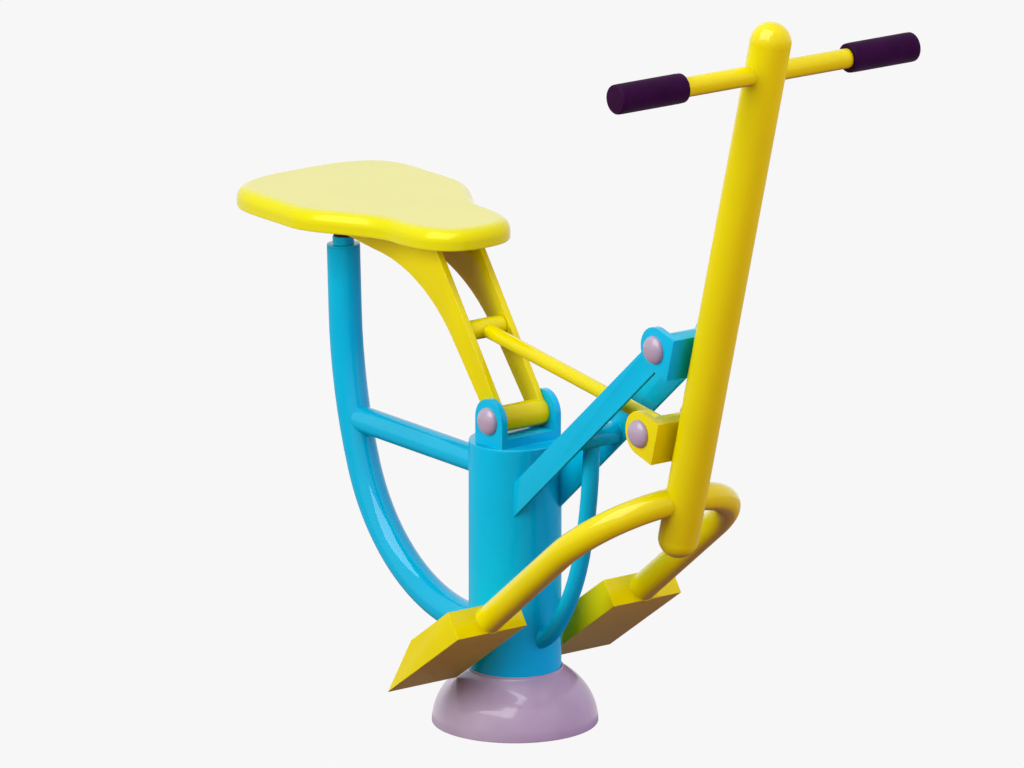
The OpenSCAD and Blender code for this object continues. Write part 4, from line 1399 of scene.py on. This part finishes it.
class RIDER_OT_pedals(PieceOperator):
    """Folded box pedals closed by side plates"""

    bl_idname = "rider.pedals"
    bl_label = "Pedals"

    def execute(self, context):
        size = self.sizes.pedal
        half, inner, tall = size.width / 2, size.width / 2 - size.sheet, size.height / 2
        tip, tip_edge, cheek_edge = size.sheet / 3, 0.0003, 0.0007
        outline = eased([
            (0, -tall, size.fold), (-size.length, -tall, tip_edge),
            (-size.length + tip, -tall + tip, tip_edge), (-size.top_length, tall, size.fold),
            (0, tall, size.fold)])
        for side, name in SIDES:
            place = pedal_place(side)
            add_shell("pedal_box_" + name, [plate(outline, place, -inner, inner, 0)], YELLOW_LEVER,
                      ["pedal_" + name])
            cheeks = [plate(outline, place, inner, half, 0, cheek_edge),
                      plate(outline, place, -half, -inner, cheek_edge, 0)]
            add_shell("pedal_cheeks_" + name, cheeks, YELLOW_LEVER, ["pedal_sides_" + name])
        return {"FINISHED"}


class RIDER_OT_weld_beads(PieceOperator):
    """Painted weld beads along every line where welded pieces meet"""

    bl_idname = "rider.weld_beads"
    bl_label = "Weld beads"

    def execute(self, context):
        size = self.sizes.frame
        sides, spacing = 10, 0.0011
        for number, ((body, finish, share), lines) in enumerate(sorted(WELDS.items())):
            name = f"beads_{body}_{number}"
            mesh = bar_mesh(
                name, lines, finish, size.bead * share, sides, spacing, size.bead_ripple, size.bead_pitch)
            add_piece(name, mesh, (body, finish))
        return {"FINISHED"}


class RIDER_OT_inner_parts(PieceOperator):
    """Finishes for the flange, gussets, bolts, bearings and bushes, which keep their solids"""

    bl_idname = "rider.inner_parts"
    bl_label = "Inner parts"

    def execute(self, context):
        special = {"link_bushes": "bush_plastic", "base_flange": "blue_paint", "base_gussets": "blue_paint"}
        for name, node in frame["nodes"].items():
            if node.hide_render:
                continue
            finish, slots = finish_named(special.get(name, "steel")), node.data.materials
            for i in range(len(slots)):
                slots[i] = finish
            if not slots:
                slots.append(finish)
        return {"FINISHED"}


class RIDER_OT_stage(PieceOperator):
    """Pale floor, soft lights and the camera"""

    bl_idname = "rider.stage"
    bl_label = "Stage"

    # Name, strength setting, size, place, colour, and whether it shows only in reflections
    lamps = (
        ("key_lamp", "key", 3.4, (-0.2, -4.2, 2.3), (1.0, 1.0, 0.97), False),
        ("fill_lamp", "fill", 3.0, (4.2, 1.2, 1.9), (0.82, 0.66, 1.0), False),
        ("back_lamp", "back", 3.0, (-3.6, 2.8, 2.2), (0.95, 0.95, 1.0), False),
        ("top_lamp", "top", 1.6, (0.5, 0.3, 3.6), (1.0, 1.0, 1.0), False),
        ("soft_box", "box", 4.0, (0.8, -2.2, 4.0), (1.0, 1.0, 1.0), True))
    lamp_aim = Vector((0, 0, 0.55))
    view_middle = Vector((-0.0028, -0.0037, 0.5251))
    view_back = Vector((0.76932, -0.58366, 0.25977)).normalized()
    floor_edge = 60.0
    floor_glow = 0.965  # share of the floor's light that doesn't depend on the lamps

    def execute(self, context):
        look = self.sizes.stage
        context.scene.view_settings.view_transform = "Standard"
        self.pale_world(look)
        if look.has_floor:
            self.floor(look)
        for name, setting, size, spot, colour, mirrored in self.lamps:
            self.lamp(name, getattr(look, setting), size, spot, colour, mirrored)
        self.camera(look)
        return {"FINISHED"}

    def pale_world(self, look):
        """Backdrop that is pale to the camera and in reflections, and soft light from all round."""
        world = bpy.data.worlds.new("studio")
        studio = Shading(world)
        pale = studio.node("ShaderNodeBackground", {}, {"Color": full((look.backdrop,) * 3)})
        light = studio.node("ShaderNodeBackground", {}, {"Color": full(look.sky_tint), "Strength": look.sky})
        seen = studio.blend(studio.seen(), light, pale)
        studio.node("ShaderNodeOutputWorld", {}, {"Surface": seen})
        bpy.context.scene.world = world

    def floor(self, look):
        """Wide pale floor that still takes a faint shadow."""
        mesh = bpy.data.meshes.new("floor")
        far = self.floor_edge
        mesh.from_pydata([(-far, -far, 0), (far, -far, 0), (far, far, 0), (-far, far, 0)], [],
                         [(0, 1, 2, 3)])
        paper = Finish("pale_floor")
        matt = paper.node("ShaderNodeBsdfDiffuse", {}, {"Color": full(look.floor)})
        glow = (look.backdrop - (1 - self.floor_glow) * look.floor[1]) / self.floor_glow
        pale = paper.node("ShaderNodeEmission", {}, {"Color": full((glow,) * 3)})
        mesh.materials.append(paper.surface(paper.blend(paper.seen() * self.floor_glow, matt, pale)))
        in_scene("floor", mesh)

    def lamp(self, name, strength, size, spot, colour, mirrored):
        """Large soft lamp that looks at the middle of the object, or that only its gloss shows."""
        data = bpy.data.lights.new(name, "AREA")
        data.shape = "SQUARE"
        data.size = size
        data.energy = strength
        data.color = colour
        lamp = in_scene(name, data)
        lamp.visible_glossy = mirrored
        lamp.visible_diffuse = not mirrored
        lamp.location = spot
        lamp.rotation_euler = (Vector(spot) - self.lamp_aim).to_track_quat("Z", "Y").to_euler()

    def camera(self, look):
        """Camera at the photograph's viewing angle, far off with a long lens."""
        data = bpy.data.cameras.new("camera")
        data.lens = look.lens
        data.sensor_width = 36
        data.clip_end = 200
        camera = in_scene("camera", data)
        camera.location = self.view_middle + self.view_back * look.distance
        camera.rotation_euler = self.view_back.to_track_quat("Z", "Y").to_euler()
        bpy.context.scene.camera = camera


STEPS = (
    RIDER_OT_main_post, RIDER_OT_ground_cover, RIDER_OT_rear_support, RIDER_OT_front_support,
    RIDER_OT_arms, RIDER_OT_clevises, RIDER_OT_axle_caps, RIDER_OT_seat_arm, RIDER_OT_seat,
    RIDER_OT_push_rod, RIDER_OT_handle_post, RIDER_OT_handlebar, RIDER_OT_grips, RIDER_OT_foot_bars,
    RIDER_OT_pedals, RIDER_OT_weld_beads, RIDER_OT_inner_parts, RIDER_OT_stage)


class RIDER_PT_panel(bpy.types.Panel):
    """Lists the rider's pieces in the order in which they are made"""

    bl_label = "Outdoor rider"
    bl_idname = "RIDER_PT_panel"
    bl_space_type = "VIEW_3D"
    bl_region_type = "UI"
    bl_category = "Rider"

    def draw(self, context):
        column = self.layout.column(align=True)
        for step in STEPS:
            column.operator(step.bl_idname)


CLASSES = (
    PostSizes, FrameSizes, SeatSizes, LeverSizes, PedalSizes, FinishColours, StageSettings,
    RiderSettings, *STEPS, RIDER_PT_panel)


def register():
    for each in CLASSES:
        bpy.utils.register_class(each)
    bpy.types.Scene.rider = PointerProperty(type=RiderSettings)


def unregister():
    del bpy.types.Scene.rider
    for each in reversed(CLASSES):
        bpy.utils.unregister_class(each)


def main():
    """Makes every piece and the stage."""
    register()
    for step in STEPS:
        group, name = step.bl_idname.split(".")
        getattr(getattr(bpy.ops, group), name)()


if __name__ == "__main__":
    main()
